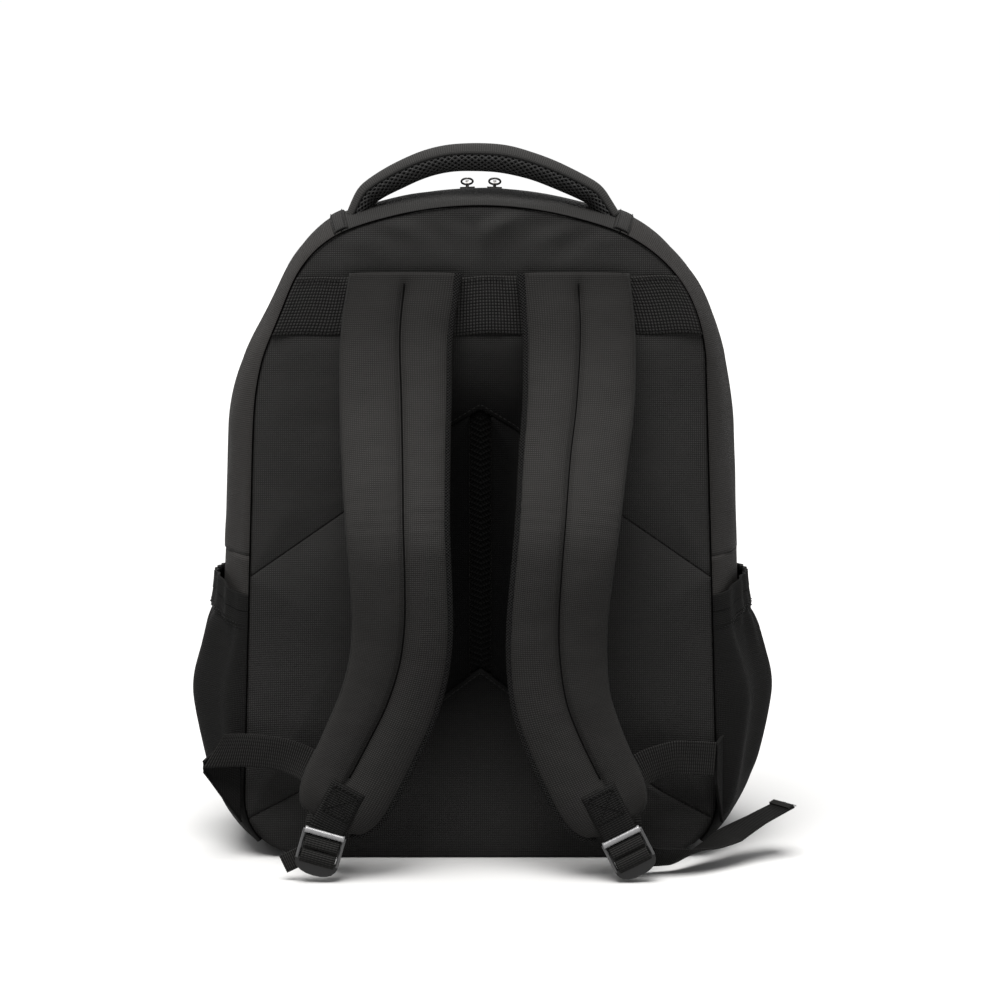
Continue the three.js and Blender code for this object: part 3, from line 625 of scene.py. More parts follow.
# Lighter plastic on the lock's bars: painted highlights where the bars catch the light.
BAR_HIGHLIGHT = moulded("buckle_bar", level=0.13, roughness=0.24, specular=0.9)
SIDE_HIGHLIGHT = moulded("buckle_side", level=0.03, roughness=0.3, specular=0.6)
METAL = lacquered("zip_metal_black")
TAPE = zip_tape_material()
COIL = moulded("zip_coil_nylon", level=0.012, roughness=0.35)


# ---------- studio ----------
CAMERA_LENS = 88.4
CAMERA_TARGET = Vector((0.0128, BACK_Y, 0.2377))
CAMERA_DISTANCE = 1.6
CAMERA_ELEVATION = math.radians(6.2)
FLOOR_SIZE, FLOOR_Z = 60.0, -0.0005
SUN_STRENGTH, SUN_ANGLE = 8.0, math.radians(42)
SUN_COLOUR = (1.0, 0.99, 0.975)
SUN_FROM = Vector((-0.10, -0.34, 1.0))


def make_studio():
    """Camera, floor, a world that is brighter behind the object than behind the camera, and one soft sun."""
    camera_data = bpy.data.cameras.new("camera")
    camera_data.lens = CAMERA_LENS
    camera_data.sensor_width = 36.0
    camera = bpy.data.objects.new("camera", camera_data)
    bpy.context.scene.collection.objects.link(camera)
    away = Vector((0, -math.cos(CAMERA_ELEVATION), math.sin(CAMERA_ELEVATION)))
    camera.location = CAMERA_TARGET + away * CAMERA_DISTANCE
    camera.rotation_euler = (CAMERA_TARGET - camera.location).to_track_quat("-Z", "Y").to_euler()
    bpy.context.scene.camera = camera

    bpy.ops.mesh.primitive_plane_add(size=FLOOR_SIZE, location=(0, 0, FLOOR_Z))
    floor = bpy.context.object
    floor.name = "studio_floor"
    floor.data.materials.append(floor_material())

    world = bpy.data.worlds.new("studio_world")
    world.use_nodes = True
    tree = world.node_tree
    direction = add_node(tree, "ShaderNodeTexCoord").outputs["Generated"]
    ahead = add_node(tree, "ShaderNodeSeparateXYZ", inputs={0: direction}).outputs[1]
    glow = soft_range(tree, ahead, -0.5, 0.6, 0.42, 1.02)
    tree.links.new(glow, tree.nodes["Background"].inputs["Strength"])
    tree.nodes["Background"].inputs["Color"].default_value = (1.0, 1.0, 1.0, 1)
    bpy.context.scene.world = world

    sun_data = bpy.data.lights.new("softbox", "SUN")
    sun_data.energy = SUN_STRENGTH
    sun_data.angle = SUN_ANGLE
    sun_data.color = SUN_COLOUR
    sun = bpy.data.objects.new("softbox", sun_data)
    sun.rotation_euler = (-SUN_FROM).to_track_quat("-Z", "Y").to_euler()
    bpy.context.scene.collection.objects.link(sun)
    bpy.context.scene.view_settings.view_transform = "Standard"


# ---------- back panel ----------
UPPER_SEAM = np.array([(150, 187), (90, 229), (23, 283), (0, 297)]) * MM
LOWER_SEAM = np.array([(157, 26), (118, 45), (24, 109), (0, 127)]) * MM
CHANNEL_HALF = 7 * MM
SEAM_GAP = 0.25 * MM
RIM_DEPTH = 3.4 * MM


def seam_z(seam, x):
    """The height of a back panel seam at each x."""
    return np.interp(np.abs(x), seam[::-1, 0], seam[::-1, 1])


def resample(points, count, closed=True):
    """Points spaced evenly along a line, or round a closed border."""
    p = np.vstack([points, points[:1]]) if closed else np.asarray(points)
    run = run_along(p)
    return interpolate(np.linspace(0, run[-1], count, endpoint=not closed), run, p)


def boundary_distance(points, border):
    """Distance from each (x, z) point to the closed border."""
    a, b = border, np.roll(border, -1, axis=0)
    d = b - a
    best = np.full(len(points), 1e9)
    for start, step in zip(a, d):
        t = np.clip(((points - start) @ step) / max(step @ step, 1e-12), 0, 1)
        best = np.minimum(best, np.linalg.norm(points - start - t[:, None] * step, axis=1))
    return best


def pillow(name, border, centre, height, base_y, back_y, material, around, rings):
    """A crowned cloth form over a closed border in x and z. height(points, distance) gives how far it stands out
    towards -Y from base_y; its back is flat at back_y."""
    border = resample(border, around)
    centre = np.array(centre, float)
    flat = centre + (border[None] - centre) * np.linspace(0, 1, rings)[1:, None, None]
    points = np.vstack([centre[None], flat.reshape(-1, 2)])
    out = height(points, boundary_distance(points, border))
    front = upright(*points.T) + out[:, None] * (0, -1, 0) + (0, base_y, 0)
    rim = upright(*border.T) + (0, back_y, 0)
    first_rim = len(front)
    faces = [(0, 1 + j, 1 + (j + 1) % around) for j in range(around)]
    faces += [face for first in range(1, first_rim, around) for face in ring_faces(first, around)]
    verts = np.vstack([front, rim, [[centre[0], back_y, centre[1]]]])
    faces += [(len(verts) - 1, first_rim + (j + 1) % around, first_rim + j) for j in range(around)]
    return outwards(new_mesh(name, verts, faces, verts[:, (0, 2)], material))


def outline_border(s0, s1, count, inset=0.2 * MM):
    """The bag's outline in x and z between two shares, moved inwards."""
    p, n = outline(np.linspace(s0, s1, count))
    return p - n * inset + np.stack([slump(p), 0 * slump(p)], axis=1)


def chevron(seam, dz):
    """A back panel seam over its full width, in x and z, moved up by dz."""
    xs = np.concatenate([-seam[:, 0], seam[::-1, 0][1:]])
    zs = np.concatenate([seam[:, 1], seam[::-1, 1][1:]])
    return np.stack([xs, zs + dz], axis=1)


def back_pillow(name, border, centre, height, material, around, rings, node):
    """A padded piece of the back panel, placed on the bag."""
    obj = pillow(name, border, centre, height, BACK_Y, BACK_Y + RIM_DEPTH, material, around, rings)
    place(obj, "root", "oxford", node)


def make_back_panel():
    """The padded upper and lower panels, the two pads, the mesh channel between them and the seam stitches; the
    channel's mesh and the cloth near it carry painted shade.
    """
    gap, lift = SEAM_GAP, 3.2 * MM
    s_up = share_at(z=UPPER_SEAM[0, 1] + gap)
    upper_border = np.vstack([outline_border(s_up, 1 - s_up, 120), chevron(UPPER_SEAM, gap)[::-1][1:-1]])
    band_low, band_high = (corner.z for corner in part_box("anchor_webbing_band"))

    def upper_height(points, distance):
        x, z = points[:, 0], points[:, 1]
        spots = upright(x, z)
        crown = 3.4 * MM * (1 - np.exp(-distance / (16 * MM)))
        band = np.exp(-((z - (band_low + band_high) / 2) / (21 * MM))**4)
        crown *= 1 - 0.78 * band
        roll = 0.5 * MM * rumple(spots * (1.0, 1, 2.2), 0.05, 3.0) * smooth(0.002, 0.02, distance)
        top = smooth(band_high, PANEL_TOP, z)
        lean = np.stack([x + 0.6 * np.abs(z - PANEL_TOP) * np.sign(x), 0 * x, z - 0.45 * np.abs(x)], axis=1)
        folds = 6.0 * MM * top * rumple(lean * (1.0, 1, 1.5), 0.034, 9.0) * smooth(0.0, 0.012, distance)
        drape = 1.6 * MM * rumple(spots * (1.3, 1, 0.8), 0.05, 21.0) * smooth(0.0, 0.02, distance)
        return np.maximum(crown + roll + folds + drape, -0.5 * MM)

    back_pillow("back_panel_upper_cloth", upper_border, (0, 0.345), upper_height, OXFORD_UPPER_SHADED, 300, 46,
                "back_panel_upper")

    s_low = share_at(z=LOWER_SEAM[0, 1] - gap)
    lower_border = np.vstack([outline_border(0, s_low, 12), chevron(LOWER_SEAM, -gap)[1:-1],
                              outline_border(1 - s_low, 1, 12)])

    def lower_height(points, distance):
        x, z = points[:, 0], points[:, 1]
        spots = upright(x, z)
        crown = 3.2 * MM * (1 - np.exp(-distance / (16 * MM)))
        return np.maximum(crown + 1.4 * MM * rumple(spots, 0.05, 5.0) * smooth(0.0, 0.015, distance), -0.5 * MM)

    back_pillow("back_panel_lower_cloth", lower_border, (0, 0.025), lower_height, OXFORD_LOWER_SHADED, 240, 26,
                "back_panel_lower")

    s0, s1 = share_at(z=LOWER_SEAM[0, 1] + gap), share_at(z=UPPER_SEAM[0, 1] - gap)
    side = outline_border(s0, s1, 30)
    inner = [(-0.09, UPPER_SEAM[1, 1] - gap), (-0.023, UPPER_SEAM[2, 1] - gap),
             (-CHANNEL_HALF, float(seam_z(UPPER_SEAM, CHANNEL_HALF)) - gap),
             (-CHANNEL_HALF, float(seam_z(LOWER_SEAM, CHANNEL_HALF)) + gap),
             (-0.024, LOWER_SEAM[2, 1] + gap), (-0.118, LOWER_SEAM[1, 1] + gap)]
    pad_border = np.vstack([side, inner])
    for name, sign in SIDES:
        seed = 20.0 + sign

        def pad_height(points, distance):
            spots = upright(points[:, 0], points[:, 1])
            crown = 8.5 * MM * (1 - np.exp(-distance / (20 * MM)))
            puckers = 0.8 * MM * rumple(spots, 0.022, seed) * np.exp(-distance / (14 * MM))
            soft = 1.8 * MM * rumple(spots * (1, 1, 0.6), 0.06, seed + 5) * smooth(0, 0.03, distance)
            return np.maximum(crown + (puckers + soft) * smooth(0, 0.003, distance), -0.4 * MM)

        back_pillow(f"back_pad_{name}_cushion", pad_border * (-sign, 1), (sign * 0.078, 0.158), pad_height,
                    PAD_FABRIC_SHADED, 260, 40, f"back_pad_{name}")

    half = CHANNEL_HALF - 0.3 * MM
    x = np.linspace(-half, half, 9)[:, None]
    z = mix(seam_z(LOWER_SEAM, x) + gap, seam_z(UPPER_SEAM, x) - gap, np.linspace(0, 1, 60))
    sag = BACK_Y + 2.0 * MM - 0.8 * MM * np.cos(np.pi * x / (2 * half))
    points = np.stack(np.broadcast_arrays(x, sag, z), axis=-1)
    # The channel's mesh is near-black: painted shade between the straps.
    channel = grid("back_channel_knit", points, CHANNEL_SHADE_MESH, thickness=1.2 * MM)
    place(channel, "root", "spacer_mesh", "back_channel_mesh")

    for name, seam, dz in (("upper_seam_thread", UPPER_SEAM, lift), ("lower_seam_thread", LOWER_SEAM, -lift)):
        line = resample(chevron(seam, dz)[1:-1], 160, closed=False)
        row = stitches(name, upright(*line.T) + (0, BACK_Y - 1.6 * MM, 0), (0, -1, 0))
        place(row, "root", "oxford")


STRAP_OUTER, STRAP_INNER = 90 * MM, 16 * MM


def make_band():
    """The wide webbing that anchors the straps, and its two rows of stitches where the straps leave them bare."""
    low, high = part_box("anchor_webbing_band")
    u = np.linspace(-1, 1, 90)
    z = np.array([high.z, high.z - 0.6 * MM, high.z - 2 * MM, high.z - 10 * MM, high.z - 19 * MM, low.z + 9 * MM,
                  low.z + 2 * MM, low.z + 0.6 * MM, low.z])
    half = np.array([abs(float(outline(share_at(z=v))[0][0])) for v in z]) - 0.4 * MM
    x = u[:, None] * half[None] + slump(np.stack([u[:, None] * half[None], z + 0 * u[:, None]], axis=-1))
    wave = 0.35 * MM * np.sin(u * 9) + 0.25 * MM * np.sin(u * 21 + 1)
    edge = np.array([0, 0.7, 0.9, 1.0, 1.1, 1.0, 0.9, 0.7, 0]) * MM
    y = BACK_Y - 2.0 * MM - edge[None] - wave[:, None] * 0.8
    points = np.stack([x, y, z[None] + (wave * 1.8)[:, None] + 0 * y], axis=-1)
    band = grid("anchor_band_webbing", points, BAND, thickness=1.6 * MM, flip=True)
    place(band, "root", "webbing", "anchor_webbing_band")
    rows = []
    for k, column in enumerate((2, 6)):
        line = points[:, column] + (0, -0.5 * MM, 0)
        x = line[:, 0]
        for shown in (x < -STRAP_OUTER, np.abs(x) < STRAP_INNER, x > STRAP_OUTER):
            rows.append(stitches(f"band_thread_{k}", line[shown], (0, -1, 0)))
    place(join("band_threads", rows), "root", "webbing")


def make_piping():
    """The cord round the back seam, coloured near-black as painted shade in the seam, and the piping round the
    front, which is parted where the flap opens.
    """
    s = np.linspace(share_at(z=12 * MM), 1 - share_at(z=12 * MM), 420)
    points = skin(s, BACK_Y, 1.3 * MM)
    points[:, 1] = BACK_Y - 0.5 * MM + 0.2 * MM * np.sin(s * 90)
    # The piping is near-black: painted shade in the back seam.
    piping = rope("back_seam_cord", points, 0.5 * MM, SEAM_SHADE)
    place(piping, "root", "oxford", "back_seam_piping")
    front = skin(s, FRONT_Y, 0.9 * MM)
    front[:, 1] = FRONT_Y - 0.5 * MM
    low_end = int(np.searchsorted(s, share_at(z=FLAP_Z - 2 * MM)))
    for name, body, part in (("front_piping_left", "root", front[:low_end]),
                             ("front_piping_right", "root", front[len(s) - low_end:]),
                             ("flap_piping", "flap", front[low_end + 3:len(s) - low_end - 3])):
        place(rope(name, part, 1.35 * MM, PIPING), body, "oxford")


# ---------- body skin ----------
def skin_part(name, s0, s1, y0, y1, count_s, count_y, material, ruffle, seed):
    """A creased piece of the bag's skin between outline shares s0 and s1 and depths y0 and y1."""
    s = np.linspace(s0, s1, count_s)[:, None]
    y = np.linspace(y0, y1, count_y)[None]
    flat = skin(s, y, 0)
    edge = smooth(0, 0.01, np.minimum(y - min(y0, y1), max(y0, y1) - y))
    folds = 1.1 * MM * rumple(flat * (1.0, 2.2, 1.0), 0.07, seed) + 0.6 * MM * rumple(flat, 0.028, seed + 4)
    return grid(name, skin(s, y, folds * ruffle * edge), material, thickness=2.6 * MM, flip=s1 < s0)


def make_shell():
    """The side panels, gussets, front, flap and base of the bag, and the cloth of the two inner parts."""
    s_flap = share_at(z=FLAP_Z)
    s_low = share_at(z=FLAP_Z - 3.5 * MM)
    near, far = BACK_Y + 0.3 * MM, FRONT_Y - 0.8 * MM
    zip_edge = -TAPE_HALF - 0.2 * MM
    slit = 0.0002
    rear_ends = np.array([s_low + slit, CROSS_SEAM - slit])
    for name, sign in SIDES:
        ends = mirrored(np.array([0.002, s_low]), sign)
        side = skin_part(f"{name}_side_panel_cloth", *ends, near, far, 60, 48, OXFORD_GUSSET, 0.9, 30 + sign)
        place(side, "root", "oxford", f"{name}_side_panel")
        rear = skin_part(f"{name}_gusset_cloth", *mirrored(rear_ends, sign), near, zip_edge, 90, 26, OXFORD_GUSSET,
                         1.3, 40 + sign)
        place(rear, "root", "oxford", f"{name}_gusset")
    top = skin_part("top_gusset_cloth", CROSS_SEAM + slit, 1 - CROSS_SEAM - slit, near, zip_edge, 80, 26, OXFORD,
                    1.3, 50)
    place(top, "root", "oxford", "top_gusset")
    flap = skin_part("flap_gusset_cloth", s_flap + 0.001, 1 - s_flap - 0.001, -zip_edge, far, 220, 24,
                     OXFORD_GUSSET, 1.2, 60)
    place(flap, "flap", "oxford", "flap_gusset")

    def front_height(points, distance):
        spots = upright(points[:, 0], points[:, 1])
        crown = -4.0 * MM * (1 - np.exp(-distance / (16 * MM)))
        return crown - 1.6 * MM * rumple(spots * (1, 1, 0.7), 0.07, 70) * smooth(0, 0.03, distance)

    inset = 0.3 * MM
    panel = pillow("flap_panel_cloth", outline_border(s_flap, 1 - s_flap, 120, inset), (0, 0.3), front_height,
                   FRONT_Y - 1.2 * MM, FRONT_Y - RIM_DEPTH, OXFORD, 260, 36)
    place(panel, "flap", "oxford", "flap_panel")
    border = np.vstack([outline_border(0, s_low, 40, inset), outline_border(1 - s_low, 1, 40, inset)])
    lower = pillow("front_lower_cloth", border, (0, 0.1), front_height, FRONT_Y - 1.2 * MM, FRONT_Y - RIM_DEPTH,
                   OXFORD, 220, 26)
    place(lower, "root", "oxford", "front_lower_panel")

    low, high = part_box("bottom_panel")
    u, v = np.linspace(-1, 1, 41)[:, None], np.linspace(0, 1, 21)[None]
    x = (BASE_HALF - 1 * MM) * np.sign(u) * np.abs(u)**0.9 + 0 * v
    round_in = 6 * MM * np.abs(u)**12
    y = mix(low.y - 2 * MM + round_in, high.y + 2 * MM - round_in, v)
    z = 3.2 * MM * (smooth(0.82, 1.0, np.abs(u))**2 + smooth(0.85, 1.0, np.abs(2 * v - 1))**2) + 0.1 * MM
    points = np.stack([x, y, z], axis=-1)
    bottom = grid("bottom_panel_cloth", points, OXFORD, thickness=2.4 * MM, flip=True)
    place(bottom, "root", "oxford", "bottom_panel")

    for node in ("laptop_sleeve", "back_stiffener"):
        frame["nodes"][node].data.materials.clear()
        frame["nodes"][node].data.materials.append(INNER_CLOTH)


# ---------- zips ----------
COIL_PITCH = 2.0 * MM
TAPE_HALF = 14.4 * MM


def coil_teeth(name, points, across, face, side):
    """The nylon coil of one zip half: a row of small rounded teeth along a path. across and face are one vector or
    one per point."""
    run = run_along(points)
    count = int(run[-1] / COIL_PITCH)
    at = (np.arange(count) + (0.25 if side > 0 else 0.75)) * COIL_PITCH
    p = interpolate(at, run, points)
    a, f = (unit(interpolate(at, run, np.broadcast_to(v, points.shape))) for v in (across, face))
    t = np.cross(a, f)
    profile = ((-0.2, 0.5), (0.8, 0.7), (2.6, 0.75), (3.0, 0.45))
    verts, faces = [], []
    for i in range(count):
        base = len(verts)
        for reach, size in profile:
            for k in range(6):
                angle = math.pi / 3 * k
                verts.append(p[i] + a[i] * side * reach * MM + t[i] * math.cos(angle) * size * 0.75 * MM
                             + f[i] * (0.7 + math.sin(angle) * size) * MM)
        for ring in range(len(profile) - 1):
            faces += [(a, d, c, b) for a, b, c, d in ring_faces(base + ring * 6, 6)]
        faces += [tuple(range(base + 5, base - 1, -1)), tuple(range(base + 18, base + 24))]
    return outwards(new_mesh(name, verts, faces, None, COIL))


def make_main_zip():
    """The two tapes and coils of the zip that runs round the bag; the front half rides on the flap."""
    s0 = share_at(z=FLAP_Z + 1 * MM)
    s = np.linspace(s0, 1 - s0, 260)
    sink = -1.7 * MM
    for name, body, side in (("rear", "root", -1), ("front", "flap", 1)):
        outer, inner = side * TAPE_HALF, side * 0.5 * MM
        sheet = skin(s[:, None], np.linspace(outer, inner, 8)[None], sink)
        tape = grid(f"main_zip_{name}_tape", sheet, TAPE, thickness=0.9 * MM, flip=side < 0)
        place(tape, body, "zip_tape", f"main_zip_tape_{name}")
        line = skin(s, inner + side * 0.2 * MM, sink)
        above = skin(s, inner, sink + 2 * MM)
        place(coil_teeth(f"main_zip_{name}_coil", line, (0, 1, 0), above - line, side), body, "zip_tape")


def from_cad(name, node, material, bevel, segments=3, angle=35, subdivide=0):
    """A finer copy of a hard CAD node, with its edges rounded."""
    mesh = frame["nodes"][node].data.copy()
    mesh.name = name
    obj = bpy.data.objects.new(name, mesh)
    bpy.context.scene.collection.objects.link(obj)
    mesh.materials.clear()
    mesh.materials.append(material)
    weld = obj.modifiers.new("weld", "WELD")
    weld.merge_threshold = 0.01 * MM
    if bevel:
        mod = obj.modifiers.new("edges", "BEVEL")
        mod.width = bevel
        mod.segments = segments
        mod.limit_method = "ANGLE"
        mod.angle_limit = math.radians(angle)
    if subdivide:
        surface = obj.modifiers.new("surface", "SUBSURF")
        surface.levels = surface.render_levels = subdivide
    bpy.context.view_layer.objects.active = obj
    mesh.polygons.foreach_set("use_smooth", [True] * len(mesh.polygons))
    normals = obj.modifiers.new("shading", "WEIGHTED_NORMAL")
    normals.keep_sharp = True
    return obj


def make_sliders():
    """The three zip sliders with their pull rings."""
    for node, body in (("left_main", "left"), ("right_main", "right"), ("front_pocket", "pocket")):
        slider = from_cad(f"{node}_slider_metal", f"{node}_slider", METAL, 0.3 * MM, 2)
        place(slider, f"{body}_slider", "zip_metal", f"{node}_slider")
        ring = from_cad(f"{node}_ring", f"{node}_pull", METAL, 0, subdivide=2)
        place(ring, f"{body}_pull", "zip_metal", f"{node}_pull")


# ---------- shoulder straps ----------
STRAP_LINES = {
    "left": [(-48.5, -83, 385), (-54, -92, 347), (-54.5, -108, 301), (-54, -119, 270), (-52.6, -131, 228),
             (-50.4, -134, 190), (-49.7, -132.5, 163), (-52, -131, 138), (-59, -130, 112), (-68.5, -130, 90),
             (-78, -131, 70), (-86.5, -132, 54), (-95.5, -132.5, 37)],
    "right": [(60.7, -83, 385), (64.3, -92, 347), (63.4, -108, 301), (60, -119, 270), (56.3, -131, 230),
              (52.5, -134, 195), (50, -132.5, 168), (49.5, -131, 143), (52.5, -130, 114), (59.5, -130, 92),
              (68.5, -131, 71), (77.5, -132, 53), (87, -132.5, 35)],
}
STRAP_THICK = 12 * MM
STRAP_STATIONS = 150


TAB_HALF = 11.5 * MM
WEBBING_WIDTH = 22 * MM
WEBBING_THICK = 1.7 * MM


def strap_centre(side):
    """Points, frames, run and half widths of a strap's middle line, from the band down to its lower end."""
    points, length = spline(np.array(STRAP_LINES[side]) * MM, STRAP_STATIONS)
    t, wide, face = path_frames(points, (1.0, 0.0, 0.0))
    face = np.where(face[:, 1:2] > 0, -face, face)
    share = np.linspace(0, 1, STRAP_STATIONS)
    half = mix(34 * MM, 30 * MM, smooth(0.15, 0.6, share)) - 1.5 * MM * smooth(0.7, 1, share)
    end = (1 - share) * length
    round_end = np.sqrt(np.clip(1 - np.clip(1 - end / (26 * MM), 0, 1)**2.2, 0, 1))
    half = half * mix(0.52, 1, round_end)
    thick = STRAP_THICK * mix(0.5, 1, smooth(0, 30 * MM, share * length)) * mix(0.72, 1, smooth(0, 16 * MM, end))
    return points, t, wide, face, share, length, half, thick


def strap_surface(side):
    """A function giving the strap's face point at a station and a place across it from -1 to 1."""
    points, t, wide, face, share, length, half, thick = strap_centre(side)
    middle, sway = {"left": (0.02, 0.14), "right": (0.06, -0.14)}[side]
    groove_at = middle + sway * np.sin(share * 4.4)

    def top(u):
        """How far the strap's face stands out at places u across it."""
        u = np.broadcast_to(u, (len(share), np.shape(u)[-1]))
        edge = np.clip(1 - np.abs(u)**2.7, 0, 1)**0.55
        groove = np.exp(-((u - groove_at[:, None]) * half[:, None] / (1.9 * MM))**2)
        soft_groove = np.exp(-((u - groove_at[:, None]) * half[:, None] / (8.0 * MM))**2)
        away = (smooth(0.0, 0.02, (1 - share) * length - 14 * MM) * smooth(0.0, 0.05, share))[:, None]
        puff = 1.6 * MM * smooth(0.03, 0.2, share)[:, None]
        return (thick[:, None] * 0.5 + puff) * edge - (3.0 * MM * groove + 2.8 * MM * soft_groove) * edge * away

    def at(u, height):
        across = np.broadcast_to(u, height.shape) * half[:, None]
        level_top = -(wide[:, 2] / t[:, 2]) * np.exp(-(share * length / (38 * MM))**2)
        return (points[:, None] + wide[:, None] * across[..., None] + face[:, None] * height[..., None]
                + t[:, None] * (level_top[:, None] * across)[..., None])

    return at, top, groove_at


def make_strap(side, sign):
    """A padded shoulder strap: its creased face, spacer mesh lining, edge cords and the crease down its middle,
    with a near-black cord laid in it as painted shade.
    """
    _, _, _, face, share, length, half, thick = strap_centre(side)
    at, top, groove_at = strap_surface(side)
    a = np.linspace(0, 2 * math.pi, 136, endpoint=False)
    u = mix(np.cos(a), np.sign(np.cos(a)) * np.abs(np.cos(a))**0.72, np.cos(a)**2)
    u = u[None] + groove_at[:, None] * (1 - u[None]**2)
    front = np.sin(a) >= 0
    height = top(u)
    low = -thick[:, None] * (0.5 - 0.16) * np.clip(1 - np.abs(u)**6, 0, 1)**0.5
    height = np.where(front[None], height, low)
    rings = at(u, height)
    spots = rings * (1, 1, 1.8)
    lumps = 0.55 * MM * rumple(spots, 0.05, 80 + sign) + 0.3 * MM * rumple(spots, 0.018, 90 + sign)
    creases = 0.8 * MM * np.sin(share * 300)[:, None] * np.exp(-((share[:, None] - 0.44) / 0.04)**2)
    calm = 1 - np.exp(-((u - groove_at[:, None]) * half[:, None] / (5 * MM))**2)
    lumps = (lumps + 0.3 * creases) * front * calm * smooth(0, 0.05, share)[:, None]
    rings = rings + face[:, None] * lumps[..., None]
    uvs = lengths(share * length, run_along(rings[60]))[..., ::-1]
    body = loft(f"{side}_strap_face", rings, OXFORD_STRAP_LIGHT_SHADE, uvs)
    place(body, f"{side}_strap", "oxford", f"{side}_shoulder_strap")

    v = np.linspace(-1, 1, 33)
    span = np.clip(1 - np.abs(v)**8, 0, 1)**0.5
    below = -thick[:, None] * 0.5 * span[None] + 0.4 * MM
    lining = grid(f"{side}_strap_lining_knit", at(v[None] * 0.93, below), MESH, thickness=-1.6 * MM)
    place(lining, f"{side}_strap", "spacer_mesh", f"{side}_strap_lining")

    for edge in (-1, 1):
        centre = at(np.array([edge]), -0.08 * thick[:, None])[:, 0]
        radius, widen, material, slot = ((2.3 * MM, 1.35, EDGE_KNIT, "spacer_mesh") if edge == -sign
                                         else (1.25 * MM, 1.0, PIPING, "oxford"))
        place(rope(f"{side}_strap_edge_{edge}", centre, radius, material, around=10, radius_b=radius * widen),
              f"{side}_strap", slot)

    seam = at(groove_at[:, None], top(groove_at[:, None]))[:, 0] + face * 0.2 * MM
    # A near-black cord in the groove: painted shade.
    crease = rope(f"{side}_strap_crease", seam[3:-13], 0.6 * MM, STRAP_GROOVE_SHADE, around=6)
    place(crease, f"{side}_strap", "oxford")
    make_end_tab(side)


def make_end_tab(side):
    """The webbing tab boxed and crossed with stitches on the strap's lower end."""
    points, _, wide, face, _, length, _, thick = strap_centre(side)
    first = int(STRAP_STATIONS * (1 - 28 * MM / length))
    points, wide, face, thick = points[first:], wide[first:], face[first:], thick[first:]
    across = np.linspace(-TAB_HALF, TAB_HALF, 13)
    lift = thick.max() * 0.5 + 2.1 * MM - 0.5 * MM * (across / TAB_HALF)**4
    sheet = sweep(points, wide, face, across, lift)
    bar = lock_place(side, across, -2.6 * MM, 0.5 * MM)
    if np.dot(bar[-1] - bar[0], sheet[-1, -1] - sheet[-1, 0]) < 0:
        bar = bar[::-1]
    sheet_end = mix(sheet[-1], bar, np.linspace(0, 1, 7)[1:, None, None])
    tab = grid(f"{side}_end_tab_webbing", np.concatenate([sheet, sheet_end]), WEBBING_DARK,
               thickness=WEBBING_THICK, flip=side == "left")
    fix_facing(tab, (0, -1, 0))
    place(tab, f"{side}_strap", "webbing", f"{side}_strap_end_tab")

    corners = np.array([(0.1, -0.8), (0.1, 0.8), (0.72, 0.8), (0.72, -0.8)]) * (len(points) - 1, TAB_HALF)
    rows = []
    for k, (i, j) in enumerate([(0, 1), (1, 2), (2, 3), (3, 0), (0, 2), (1, 3)]):
        station, beside = mix(corners[i], corners[j], np.linspace(0, 1, 14)[:, None]).T
        near = np.round(station).astype(int)
        line = interpolate(station, np.arange(len(points)), sheet[:, 6])
        line = line + wide[near] * beside[:, None] + face[near] * 0.15 * MM
        rows.append(stitches(f"{side}_tab_row_{k}", line, face[near], 2.5 * MM, 2.0 * MM))
    place(join(f"{side}_tab_threads", rows), f"{side}_strap", "webbing")


def fix_facing(obj, direction):
    """Flips an open sheet whose faces mostly point away from the direction."""
    normals = np.empty(len(obj.data.polygons) * 3)
    obj.data.polygons.foreach_get("normal", normals)
    if (normals.reshape(-1, 3) @ np.array(direction)).sum() < 0:
        obj.data.flip_normals()


# ---------- carrying handle ----------
HANDLE_Y = -45 * MM
HANDLE_CROWN_Z = 460 * MM
HANDLE_RISE = 30 * MM
HANDLE_STATIONS = 110
HANDLE_TAB_REAR, HANDLE_TAB_FRONT = -73 * MM, -34 * MM
HANDLE_TAB_SHARE = 0.0048


def handle_frames(count):
    """The handle's middle line with its sideways and outward directions and its half sizes."""
    share = np.linspace(0, 1, count)
    angle = 2 * share - 1
    tucked = 9 * MM * smooth(0.8, 1.0, np.abs(angle))**1.5
    sunk = 3.6 * MM * smooth(0.12, 0.75, np.abs(angle)) * (1 - 0.6 * smooth(0.88, 1.0, np.abs(angle)))
    skew = mix(-4, 2, angle**2) * MM
    points = np.stack([(HANDLE_X - 5.5 * MM * angle**6) * angle + skew, np.full(count, HANDLE_Y),
                       HANDLE_CROWN_Z - HANDLE_RISE * np.abs(angle)**2.2 - tucked - sunk], axis=1)
    t, wide, out = path_frames(points, (0.0, 1.0, 0.0))
    out = np.where(out[:, 2:3] < 0, -out, out)
    full = np.sin(math.pi * mix(0.06, 0.94, share))**0.5
    return points, t, wide, out, share, mix(9, 13.6, full) * MM, mix(4.9, 9.0, full) * MM


